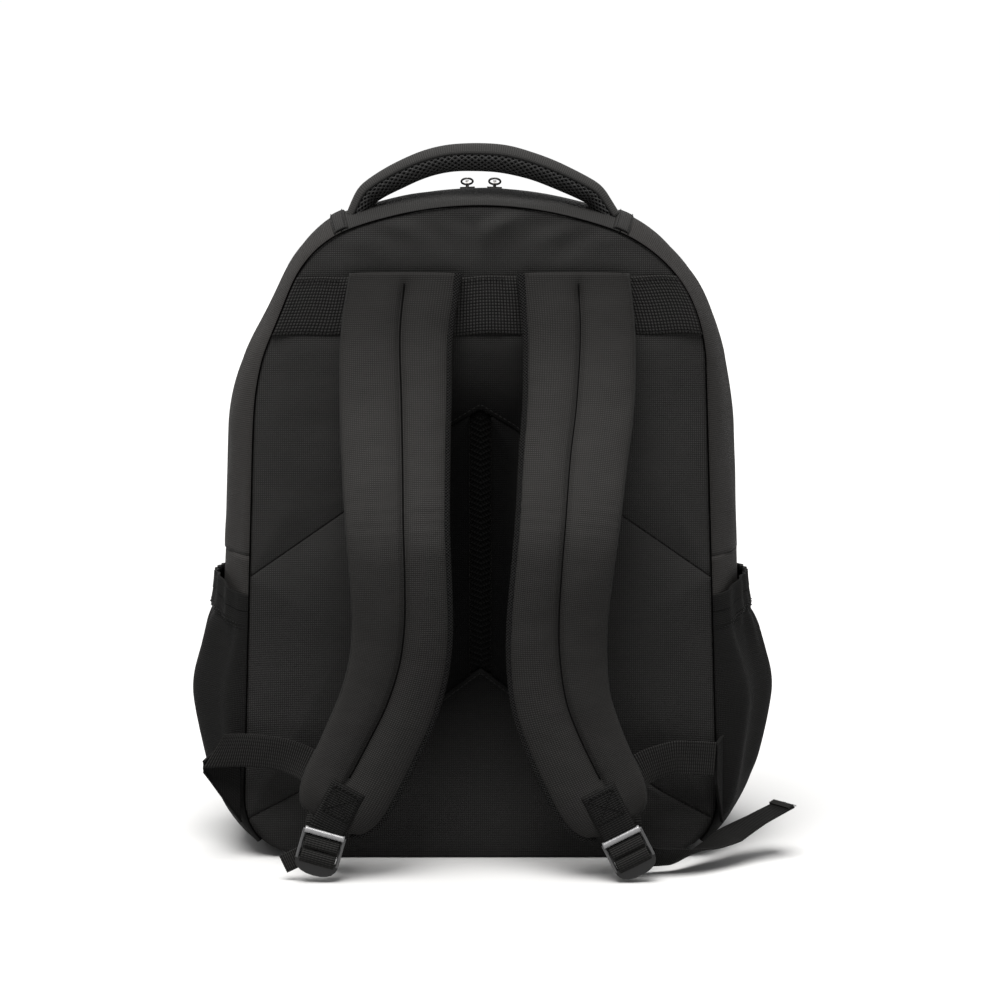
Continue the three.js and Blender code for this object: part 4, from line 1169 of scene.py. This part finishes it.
def handle_part(name, first, last, material, swell=0.0, around=26):
    """The part of the handle's round between two angles in degrees, closed by a flat back."""
    points, _, wide, out, _, half_wide, half_high = handle_frames(HANDLE_STATIONS)
    arc = np.radians(np.linspace(first, last, around))
    back = np.linspace(1, -1, 12)[1:-1]
    edge_a, edge_b = np.cos(arc[0]), np.sin(arc[0])
    chord = np.stack([-back[::-1] * abs(edge_a) * (-1 if edge_a < 0 else 1), np.full(len(back), edge_b * 0.9)])
    cross = np.hstack([np.stack([np.cos(arc), np.sin(arc)]), chord * np.array([[-1.0], [1.0]])])
    grow = 1 + swell
    rings = sweep(points, wide, out, cross[0] * half_wide[:, None] * grow, cross[1] * half_high[:, None] * grow)
    lumps = 0.35 * MM * rumple(rings, 0.02, 120 + first)
    rings = rings + out[:, None] * lumps[..., None]
    turn = np.concatenate([np.arange(around) * math.radians((last - first) / (around - 1)) * 0.0115,
                           np.full(len(back), 0.0)])
    return loft(name, rings, material, lengths(run_along(points), turn))


def make_handle():
    """The padded handle: cloth above, knitted mesh below, a cord along each seam and a tab under each end."""
    seam = 14
    grip = handle_part("handle_grip_cloth", seam, 180 - seam, OXFORD_HANDLE)
    place(grip, "handle", "oxford", "handle_grip")
    mesh = handle_part("handle_mesh", 180 - seam, 360 + seam, HANDLE_MESH, swell=0.02, around=40)
    place(mesh, "handle", "spacer_mesh", "handle_mesh_face")
    points, _, wide, out, _, half_wide, half_high = handle_frames(HANDLE_STATIONS)
    cords = []
    for side in (-1, 1):
        line = (points + wide * (side * half_wide * math.cos(math.radians(seam)) * 1.02)[:, None]
                + out * (half_high * math.sin(math.radians(seam)))[:, None])
        cords.append(rope(f"handle_seam_{side}", line, 0.9 * MM, PIPING))
    place(join("handle_seams", cords), "handle", "oxford")
    for name, sign in SIDES:
        make_handle_tab(name, sign)


def make_handle_tab(name, sign):
    """The folded webbing tab on the cross seam under one end of the handle."""
    seam = mirrored(CROSS_SEAM, sign)
    u = np.linspace(-1, 1, 19)[:, None]
    y = np.linspace(HANDLE_TAB_REAR, HANDLE_TAB_FRONT, 24)[None]
    lift = 1.7 * MM * np.clip(1 - u**6, 0, 1)**0.5
    tab = grid(f"{name}_handle_tab_cloth", skin(seam + HANDLE_TAB_SHARE * u, y, lift), OXFORD, thickness=1.2 * MM)
    place(tab, "root", "webbing", f"{name}_handle_tab")
    rows = []
    for k, offset in enumerate((-0.0034, 0.0034)):
        at = np.full(30, seam + offset)
        line = skin(at, np.linspace(HANDLE_TAB_REAR + 1 * MM, HANDLE_TAB_FRONT - 1 * MM, 30), 1.9 * MM)
        rows.append(stitches(f"{name}_handle_tab_row_{k}", line, upright(*outline(at)[1].T), 3.0 * MM, 2.3 * MM))
    place(join(f"{name}_handle_tab_threads", rows), "root", "webbing")


# ---------- side pockets ----------
POCKET_FOOT = 12 * MM
POCKET_TOP = 182 * MM
POCKET_SWELL = 20.5 * MM
POCKET_MOUTH = 5.2 * MM
CASING_DEPTH = 24 * MM
POCKET_REAR = -74.6 * MM
POCKET_FRONT = 61 * MM


def pocket_out(z, y, sign):
    """How far a side pocket stands out from the bag: its belly, the casing of its hem, its gathers and folds."""
    height = (z - POCKET_FOOT) / (POCKET_TOP - POCKET_FOOT)
    rise = np.clip(smooth(-0.2, 0.26, height), 0, 1)**0.7
    fall = mix(1, POCKET_MOUTH / POCKET_SWELL, smooth(0.5, 1.0, height))
    depth = np.clip((y - POCKET_REAR) / (POCKET_FRONT - POCKET_REAR), 0, 1)
    hollow = np.sin(math.pi * depth)**0.45
    base = POCKET_SWELL * rise * fall * hollow
    inside = smooth(0, 0.12, depth) * smooth(0, 0.12, 1 - depth)
    casing = smooth(POCKET_TOP - CASING_DEPTH - 4 * MM, POCKET_TOP - CASING_DEPTH + 1 * MM, z)
    wave = y / (7.5 * MM) + 0.8 * np.sin(y * 60 + sign)
    gathers = 1.0 * MM * np.sin(2 * math.pi * wave / 1.9) * smooth(0.55, 0.98, height) * inside
    ridge = 1.1 * MM * casing * inside
    groove = -1.6 * MM * np.exp(-((z - (POCKET_TOP - CASING_DEPTH)) / (2.2 * MM))**2) * inside
    sway = z * 9.5 + 0.6 * np.sin(z * 30 + sign)
    between = smooth(0.05, 0.3, height) * (1 - smooth(0.78, 0.9, height)) * inside
    folds = 3.06 * MM * np.sin(y * 130 + sway * sign * 1.3 + 2.6 + 0.9 * sign) * between
    return base + gathers + ridge + groove + folds


def make_side_pocket(name, sign):
    """A bellied side pocket with a gathered elastic hem and the two rows of stitches that close its casing."""
    casing = POCKET_TOP - CASING_DEPTH - 6 * MM
    z = np.concatenate([np.linspace(POCKET_FOOT, casing, 60, endpoint=False), np.linspace(casing, POCKET_TOP, 36)])
    y = mix(POCKET_REAR, POCKET_FRONT, 0.5 - 0.5 * np.cos(np.linspace(0, math.pi, 110)))
    s = mirrored(np.array([share_at(z=v) for v in z]), sign)
    zz, yy = np.meshgrid(z, y, indexing="ij")
    depth = (yy - POCKET_REAR) / (POCKET_FRONT - POCKET_REAR)
    dip = smooth(0.28, 0.0, depth) + smooth(0.75, 1.0, depth)
    lowered = zz - 8 * MM * dip * smooth(0.5 * POCKET_TOP, POCKET_TOP, zz)
    s = np.interp(lowered, z, s)
    out = pocket_out(zz, yy, sign)
    spots = np.stack([np.full_like(zz, sign), yy, zz * 0.6], axis=-1)
    calm = smooth(0, 4 * MM, yy - POCKET_REAR) * smooth(0, 4 * MM, POCKET_FRONT - yy)
    out = out + 0.9 * MM * rumple(spots, 0.03, 140 + sign) * calm
    ends = 1 - smooth(0, 2.5 * MM, zz - POCKET_FOOT)
    points = skin(s, yy, np.maximum(out, 0.4 * MM) + 0.6 * MM * ends)
    # The pocket cloth is darkened as painted shade.
    pocket = grid(f"{name}_pocket_cloth", points[:-12], POCKET_SHADE_CLOTH, thickness=1.5 * MM, flip=sign > 0)
    fix_facing(pocket, (sign, 0, 0))
    place(pocket, "root", "oxford", f"{name}_side_pocket")
    hem = points[-13:] + (sign * 0.3 * MM, 0, 0)
    lip = skin(s[-1:], yy[-1:], np.maximum(out[-1:], 0.4 * MM) - 1.5 * MM)
    hem = np.concatenate([hem, hem[-1:] + (0, 0, 0.8 * MM), lip + (0, 0, 0.9 * MM), lip - (0, 0, 4 * MM)])
    elastic = grid(f"{name}_pocket_hem", hem, POCKET_SHADE_CLOTH, thickness=0.8 * MM, flip=sign > 0)
    fix_facing(elastic, (sign, 0, 0.2))
    place(elastic, "root", "elastic", f"{name}_pocket_elastic")
    row = int(np.argmin(np.abs(z - (POCKET_TOP - CASING_DEPTH + 1.5 * MM))))
    rows = []
    for k, shift in enumerate((0, 3)):
        line = points[row + shift] + (sign * 0.25 * MM, 0, 0)
        rows.append(stitches(f"{name}_casing_row_{k}", line[4:-4], (sign, 0, 0), 3.2 * MM, 2.4 * MM))
    place(join(f"{name}_casing_threads", rows), "root", "elastic")


# ---------- webbing ----------
def ribbon(name, points, ways, width, thickness, material, count=90, wave=0.0, seed=0.0, slant=0.0):
    """A webbing strap along given points; ways give its width direction at each of them. wave ripples its edges
    and slant cuts its first end at an angle."""
    path, length = spline(points, count)
    keys = np.linspace(0, 1, len(points))
    at = np.linspace(0, 1, count)
    hint = unit(interpolate(at, keys, np.array(ways, float)))
    t, wide, face = path_frames(path, hint)
    a = np.linspace(0, 2 * math.pi, 36, endpoint=False)
    u = np.sign(np.cos(a)) * np.abs(np.cos(a))**0.4
    h = np.sign(np.sin(a)) * np.abs(np.sin(a))**0.7
    ripple = wave * np.sin(at * 9 + seed)[:, None] * u[None]**2
    cut = slant * 0.5 * u[None] * (1 - at[:, None])**6
    height = h * thickness / 2 * (1 + 0.25 * (np.abs(u) > 0.93)) + ripple
    rings = sweep(path, wide, face, u * width / 2, height) + t[:, None] * cut[..., None]
    across = np.where(h >= 0, u, -u + 2.2) * width / 2
    return loft(name, rings, material, lengths(at * length, across)), path, wide, face


def make_adjusters():
    """The two adjuster webbings, from the wings to the ladder locks."""
    starts = {"left": [(174, -89.5, 74.5), (150, -91, 75), (124, -96, 72)],
              "right": [(153, -92.8, 70), (138, -93.8, 71), (124, -96, 71)]}
    for name, sign in SIDES:
        x = abs(frame_point(name)[0]) / MM
        middle = starts[name] + [(mix(x, 110, 0.5), -105, 62), (x + 2, -112, 46), (x + 3, -118, 32)]
        ways = [(0, 0, 1)] * 3 + [(-sign * 0.6, 0, 0.7), (-sign, 0, 0.35), (-sign, 0, 0.1)]
        band = ribbon(f"{name}_adjuster_band", np.array(middle) * MM * (sign, 1, 1), ways, WEBBING_WIDTH,
                      WEBBING_THICK, WEBBING, wave=0.5 * MM, slant=15 * MM if name == "left" else 0.0)[0]
        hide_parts(f"{name}_adjuster_webbing")
        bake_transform(band)


def frame_point(side):
    """Where a ladder lock's joint sits in the shared frame."""
    joints = frame["record"]["behaviour"]["joints"]
    return np.array(next(j for j in joints if j["name"] == f"{side}_lock_tilt")["pos_m"])


def wing_point(name, u, v):
    """A place on a wing, u from the back seam outwards and v upwards: the left one lies flat, the right one stands
    edge on."""
    if name == "left":
        x, y = -mix(158, 181, u), mix(-76.6, -86, u)
        z = mix(mix(24, 59.5, u), mix(83, 66, u**1.5), v)
    else:
        x, y = mix(159.5, 154.6, u), mix(-76.6, -91.5, u)
        z = mix(mix(24, 52, u), mix(82, 79.5, u), v)
    swell = np.sin(math.pi * v) * (1 - u) + 0.5 * np.sin(v * 9 + u * 4)
    return np.stack([x + 0 * v, y - 1.5 * swell * (name == "left"), z], axis=-1) * MM


def make_wing(name):
    """The folded triangle of cloth that ties the adjuster webbing into the side seam."""
    sheet = wing_point(name, np.linspace(0, 1, 26)[:, None], np.linspace(0, 1, 22)[None])
    wing = grid(f"{name}_wing_cloth", sheet, POCKET_SHADE_CLOTH, thickness=1.6 * MM)
    fix_facing(wing, (0, -1, 0) if name == "left" else (1, 0, 0))
    place(wing, "root", "oxford", f"{name}_strap_wing")
    cords = [rope(f"{name}_wing_edge_{k}", line, 0.7 * MM, POCKET_SHADE_CLOTH)
             for k, line in enumerate((sheet[:, 0], sheet[:, -1], sheet[-1]))]
    place(join(f"{name}_wing_edges", cords), "root", "oxford")


# ---------- ladder locks and what is threaded through them ----------
LOCK_TILT = {"left": math.radians(16), "right": math.radians(-27)}
LOCK_HALF = 13.0 * MM
LOCK_BAND_HALF = 11.2 * MM


def lock_place(side, x, y, z):
    """A point of a lock's own frame, in metres."""
    turn, pivot = LOCK_TILT[side], frame_point(side)
    x, y, z = np.broadcast_arrays(x, y, z)
    return np.stack([pivot[0] + x * math.cos(turn) + z * math.sin(turn), pivot[1] + y,
                     pivot[2] - x * math.sin(turn) + z * math.cos(turn)], axis=-1)


def lock_band(name, k, stops):
    """Webbing lying over one half of a lock; stops give (z, how far it stands out) in mm."""
    stops = np.array(stops, float)
    path = spline(upright(0 * stops[:, 0], stops[:, 0]) * MM - stops[:, 1:] * (0, MM, 0), 26)[0]
    u = np.linspace(-1, 1, 17)[None]
    sheet = lock_place(name, u * LOCK_BAND_HALF, path[:, 1:2] + 0.25 * MM * u**2, path[:, 2:3])
    strip = grid(f"{name}_lock_band_{k}", sheet, WEBBING, thickness=1.2 * MM)
    fix_facing(strip, (0, -1, 0))
    return strip


def make_lock(name):
    """A ladder lock: its moulded CAD frame, the webbing threaded over it and its glossy, scuffed bars, coloured
    lighter than the frame as painted highlights.
    """
    lock = from_cad(f"{name}_lock_plastic", f"{name}_ladder_lock", PLASTIC, 0.9 * MM, 4, angle=30)
    place(lock, f"{name}_lock", "plastic", f"{name}_ladder_lock")
    for k, stops in enumerate((((-1.5, 0.4), (-3.2, 2.7), (-7, 4.0), (-10, 3.7), (-11.4, 1.9)),
                               ((-11.6, 1.9), (-12.8, 3.8), (-16, 4.3), (-19, 3.6), (-21, 1.7)))):
        place(lock_band(name, k, stops), f"{name}_lock", "webbing")
    across = np.linspace(-12.9, 12.9, 24) * MM
    # The bars are lighter than the frame: painted highlights.
    bar = rope(f"{name}_lock_bar", lock_place(name, across, -1.6 * MM, 0.1 * MM), 2.3 * MM, BAR_HIGHLIGHT, around=16,
               radius_b=2.1 * MM)
    down = np.linspace(0.5, -19, 24) * MM
    sides = [rope(f"{name}_lock_side_{k}", lock_place(name, k * LOCK_HALF, -1.5 * MM, down), 1.15 * MM, SIDE_HIGHLIGHT,
                  around=10) for k in (-1, 1)]
    place(bar, f"{name}_lock", "plastic")
    place(join(f"{name}_lock_sides", sides), f"{name}_lock", "plastic")


def make_tails():
    """The free ends of the webbing: a long frayed tail on the right, a short nub on the left."""
    x = frame_point("right")[0] / MM
    mid = [(x + 12, -124, 14), (x + 22, -122, 11.5), (131, -116, 11.5), (151, -101, 15), (174, -82, 22),
           (202, -66, 33.5)]
    ways = [(0.2, -0.6, 0.7), (0.1, -0.7, 0.6), (0.35, -0.75, 0.15), (0.6, -0.72, -0.15), (0.5, -0.85, 0.0),
            (0.5, -0.85, 0.05)]
    tail, path, wide, face = ribbon("right_tail_band", np.array(mid) * MM, ways, WEBBING_WIDTH, WEBBING_THICK,
                                    WEBBING_DARK, count=120, wave=0.5 * MM, seed=1.0)
    place(tail, "right_lock", "webbing", "right_webbing_tail")
    end, ahead = path[-1], unit(path[-1] - path[-3])
    fold = []
    for k in range(3):
        back = end - ahead * (1.2 + k * 1.4) * MM
        lift = face[-1] * (1.3 - k * 0.1) * MM * np.sign(-face[-1][1])
        line = np.array([back + wide[-1] * v * 10.8 * MM + lift for v in np.linspace(-1, 1, 16)])
        fold.append(rope(f"right_tail_fold_{k}", line, 1.0 * MM, WEBBING, around=6))
    place(join("right_tail_hem", fold), "right_lock", "webbing")
    frays = []
    for k in range(14):
        across = (-1 + 2 * (k + 0.5) / 14) * 10.6 * MM
        base = end + wide[-1] * across
        reach = (1.6 + 1.8 * abs(math.sin(k * 2.7))) * MM
        steps = np.linspace(0, 1, 6)[:, None]
        line = (base + ahead * steps * reach + wide[-1] * np.sin(steps * 3 + k) * 0.5 * MM
                - np.array([0, 0, 1]) * steps**2 * 0.8 * MM)
        frays.append(rope(f"right_tail_fray_{k}", line, 0.16 * MM, THREAD, around=5))
    place(join("right_tail_frays", frays), "right_lock", "webbing")

    x = abs(frame_point("left")[0]) / MM
    nub_mid = [(-x - 12, -133, 17.5), (-x - 19, -133, 14), (-x - 27, -132, 10)]
    nub = ribbon("left_tail_nub", np.array(nub_mid) * MM, [(0.3, 0, 1)] * 3, 12 * MM, 1.9 * MM, WEBBING,
                 count=30)[0]
    place(nub, "left_lock", "webbing", "left_webbing_tail")


# ---------- front pocket ----------
FRONT_POCKET_HALF = 120 * MM
FRONT_POCKET_LOW = 12 * MM
FRONT_POCKET_HIGH = 192 * MM
FRONT_POCKET_DEPTH = 38 * MM
FRONT_ZIP_Z = 168 * MM
FRONT_ZIP_HALF = 92 * MM


def front_pocket(u, v, out=0.0):
    """Points of the pocket's face: u and v run from -1 to 1 over its width and height."""
    lift = np.sqrt(np.clip((1 - u**10) * (1 - v**10), 0, 1))
    x = u * FRONT_POCKET_HALF
    z = mix(FRONT_POCKET_LOW, FRONT_POCKET_HIGH, (v + 1) / 2)
    return np.stack([x + 0 * v, FRONT_Y + 0.3 * MM + (FRONT_POCKET_DEPTH + out) * lift, z + 0 * u], axis=-1)


def make_front_pocket():
    """The pocket on the front: its shell, edge cord, zip tape and coil, and the rows of stitches beside the zip."""
    swing = np.sin(math.pi * (np.linspace(0, 1, 120) - 0.5))
    u, v = swing[:, None], swing[None]
    flat = front_pocket(u, v)
    belly = 3.5 * MM * np.clip(1 - u**4, 0, 1) * np.clip(1 - v**4, 0, 1)
    near_zip = np.exp(-((flat[..., 2] - FRONT_ZIP_Z) / (11 * MM))**4)
    folds = 1.5 * MM * rumple(flat * (1, 1, 0.7), 0.045, 200) + 0.6 * MM * rumple(flat, 0.018, 210)
    points = flat.copy()
    points[..., 1] += (belly * 0.7 + folds * np.clip(1 - v**6, 0, 1) * np.clip(1 - u**6, 0, 1)) * (1 - near_zip)
    shell = grid("front_pocket_cloth", points, OXFORD, thickness=1.8 * MM)
    fix_facing(shell, (0, 1, 0))
    place(shell, "root", "oxford", "front_pocket_shell")
    around = np.linspace(0, 2 * math.pi, 260)[:-1]
    c, s = np.cos(around), np.sin(around)
    scale = 0.965 / (c**6 + s**6)**(1 / 6)
    cord = rope("front_pocket_cord", front_pocket(c * scale, s * scale), 1.3 * MM, PIPING)
    place(cord, "root", "oxford")

    reach = FRONT_ZIP_HALF / FRONT_POCKET_HALF
    half_height = (FRONT_POCKET_HIGH - FRONT_POCKET_LOW) / 2
    zip_v = (FRONT_ZIP_Z - (FRONT_POCKET_HIGH + FRONT_POCKET_LOW) / 2) / half_height
    uu = np.linspace(-reach, reach, 90)
    vv = zip_v + np.linspace(-0.088, 0.088, 9)
    tape = grid("front_pocket_tape", front_pocket(uu[:, None], vv[None], 1.9 * MM), TAPE, thickness=0.8 * MM)
    fix_facing(tape, (0, 1, 0))
    place(tape, "root", "zip_tape", "front_pocket_zip_tape")
    line = front_pocket(uu, zip_v, 2.0 * MM)
    teeth = [coil_teeth(f"front_pocket_coil_{k}", line, (0, 0, 1), (0, 1, 0), side)
             for k, side in enumerate((-1, 1))]
    place(join("front_pocket_coil", teeth), "root", "zip_tape")
    rows = []
    for k, shift in enumerate((-0.105, 0.105)):
        row = front_pocket(uu, zip_v + shift, 1.2 * MM)
        rows.append(stitches(f"front_pocket_row_{k}", row, (0, 1, 0)))
    place(join("front_pocket_threads", rows), "root", "oxford")


make_studio()
make_back_panel()
make_band()
make_piping()
make_shell()
make_main_zip()
make_sliders()
for side, sign in SIDES:
    make_strap(side, sign)
    make_side_pocket(side, sign)
    make_wing(side)
    make_lock(side)
make_adjusters()
make_tails()
make_handle()
make_front_pocket()
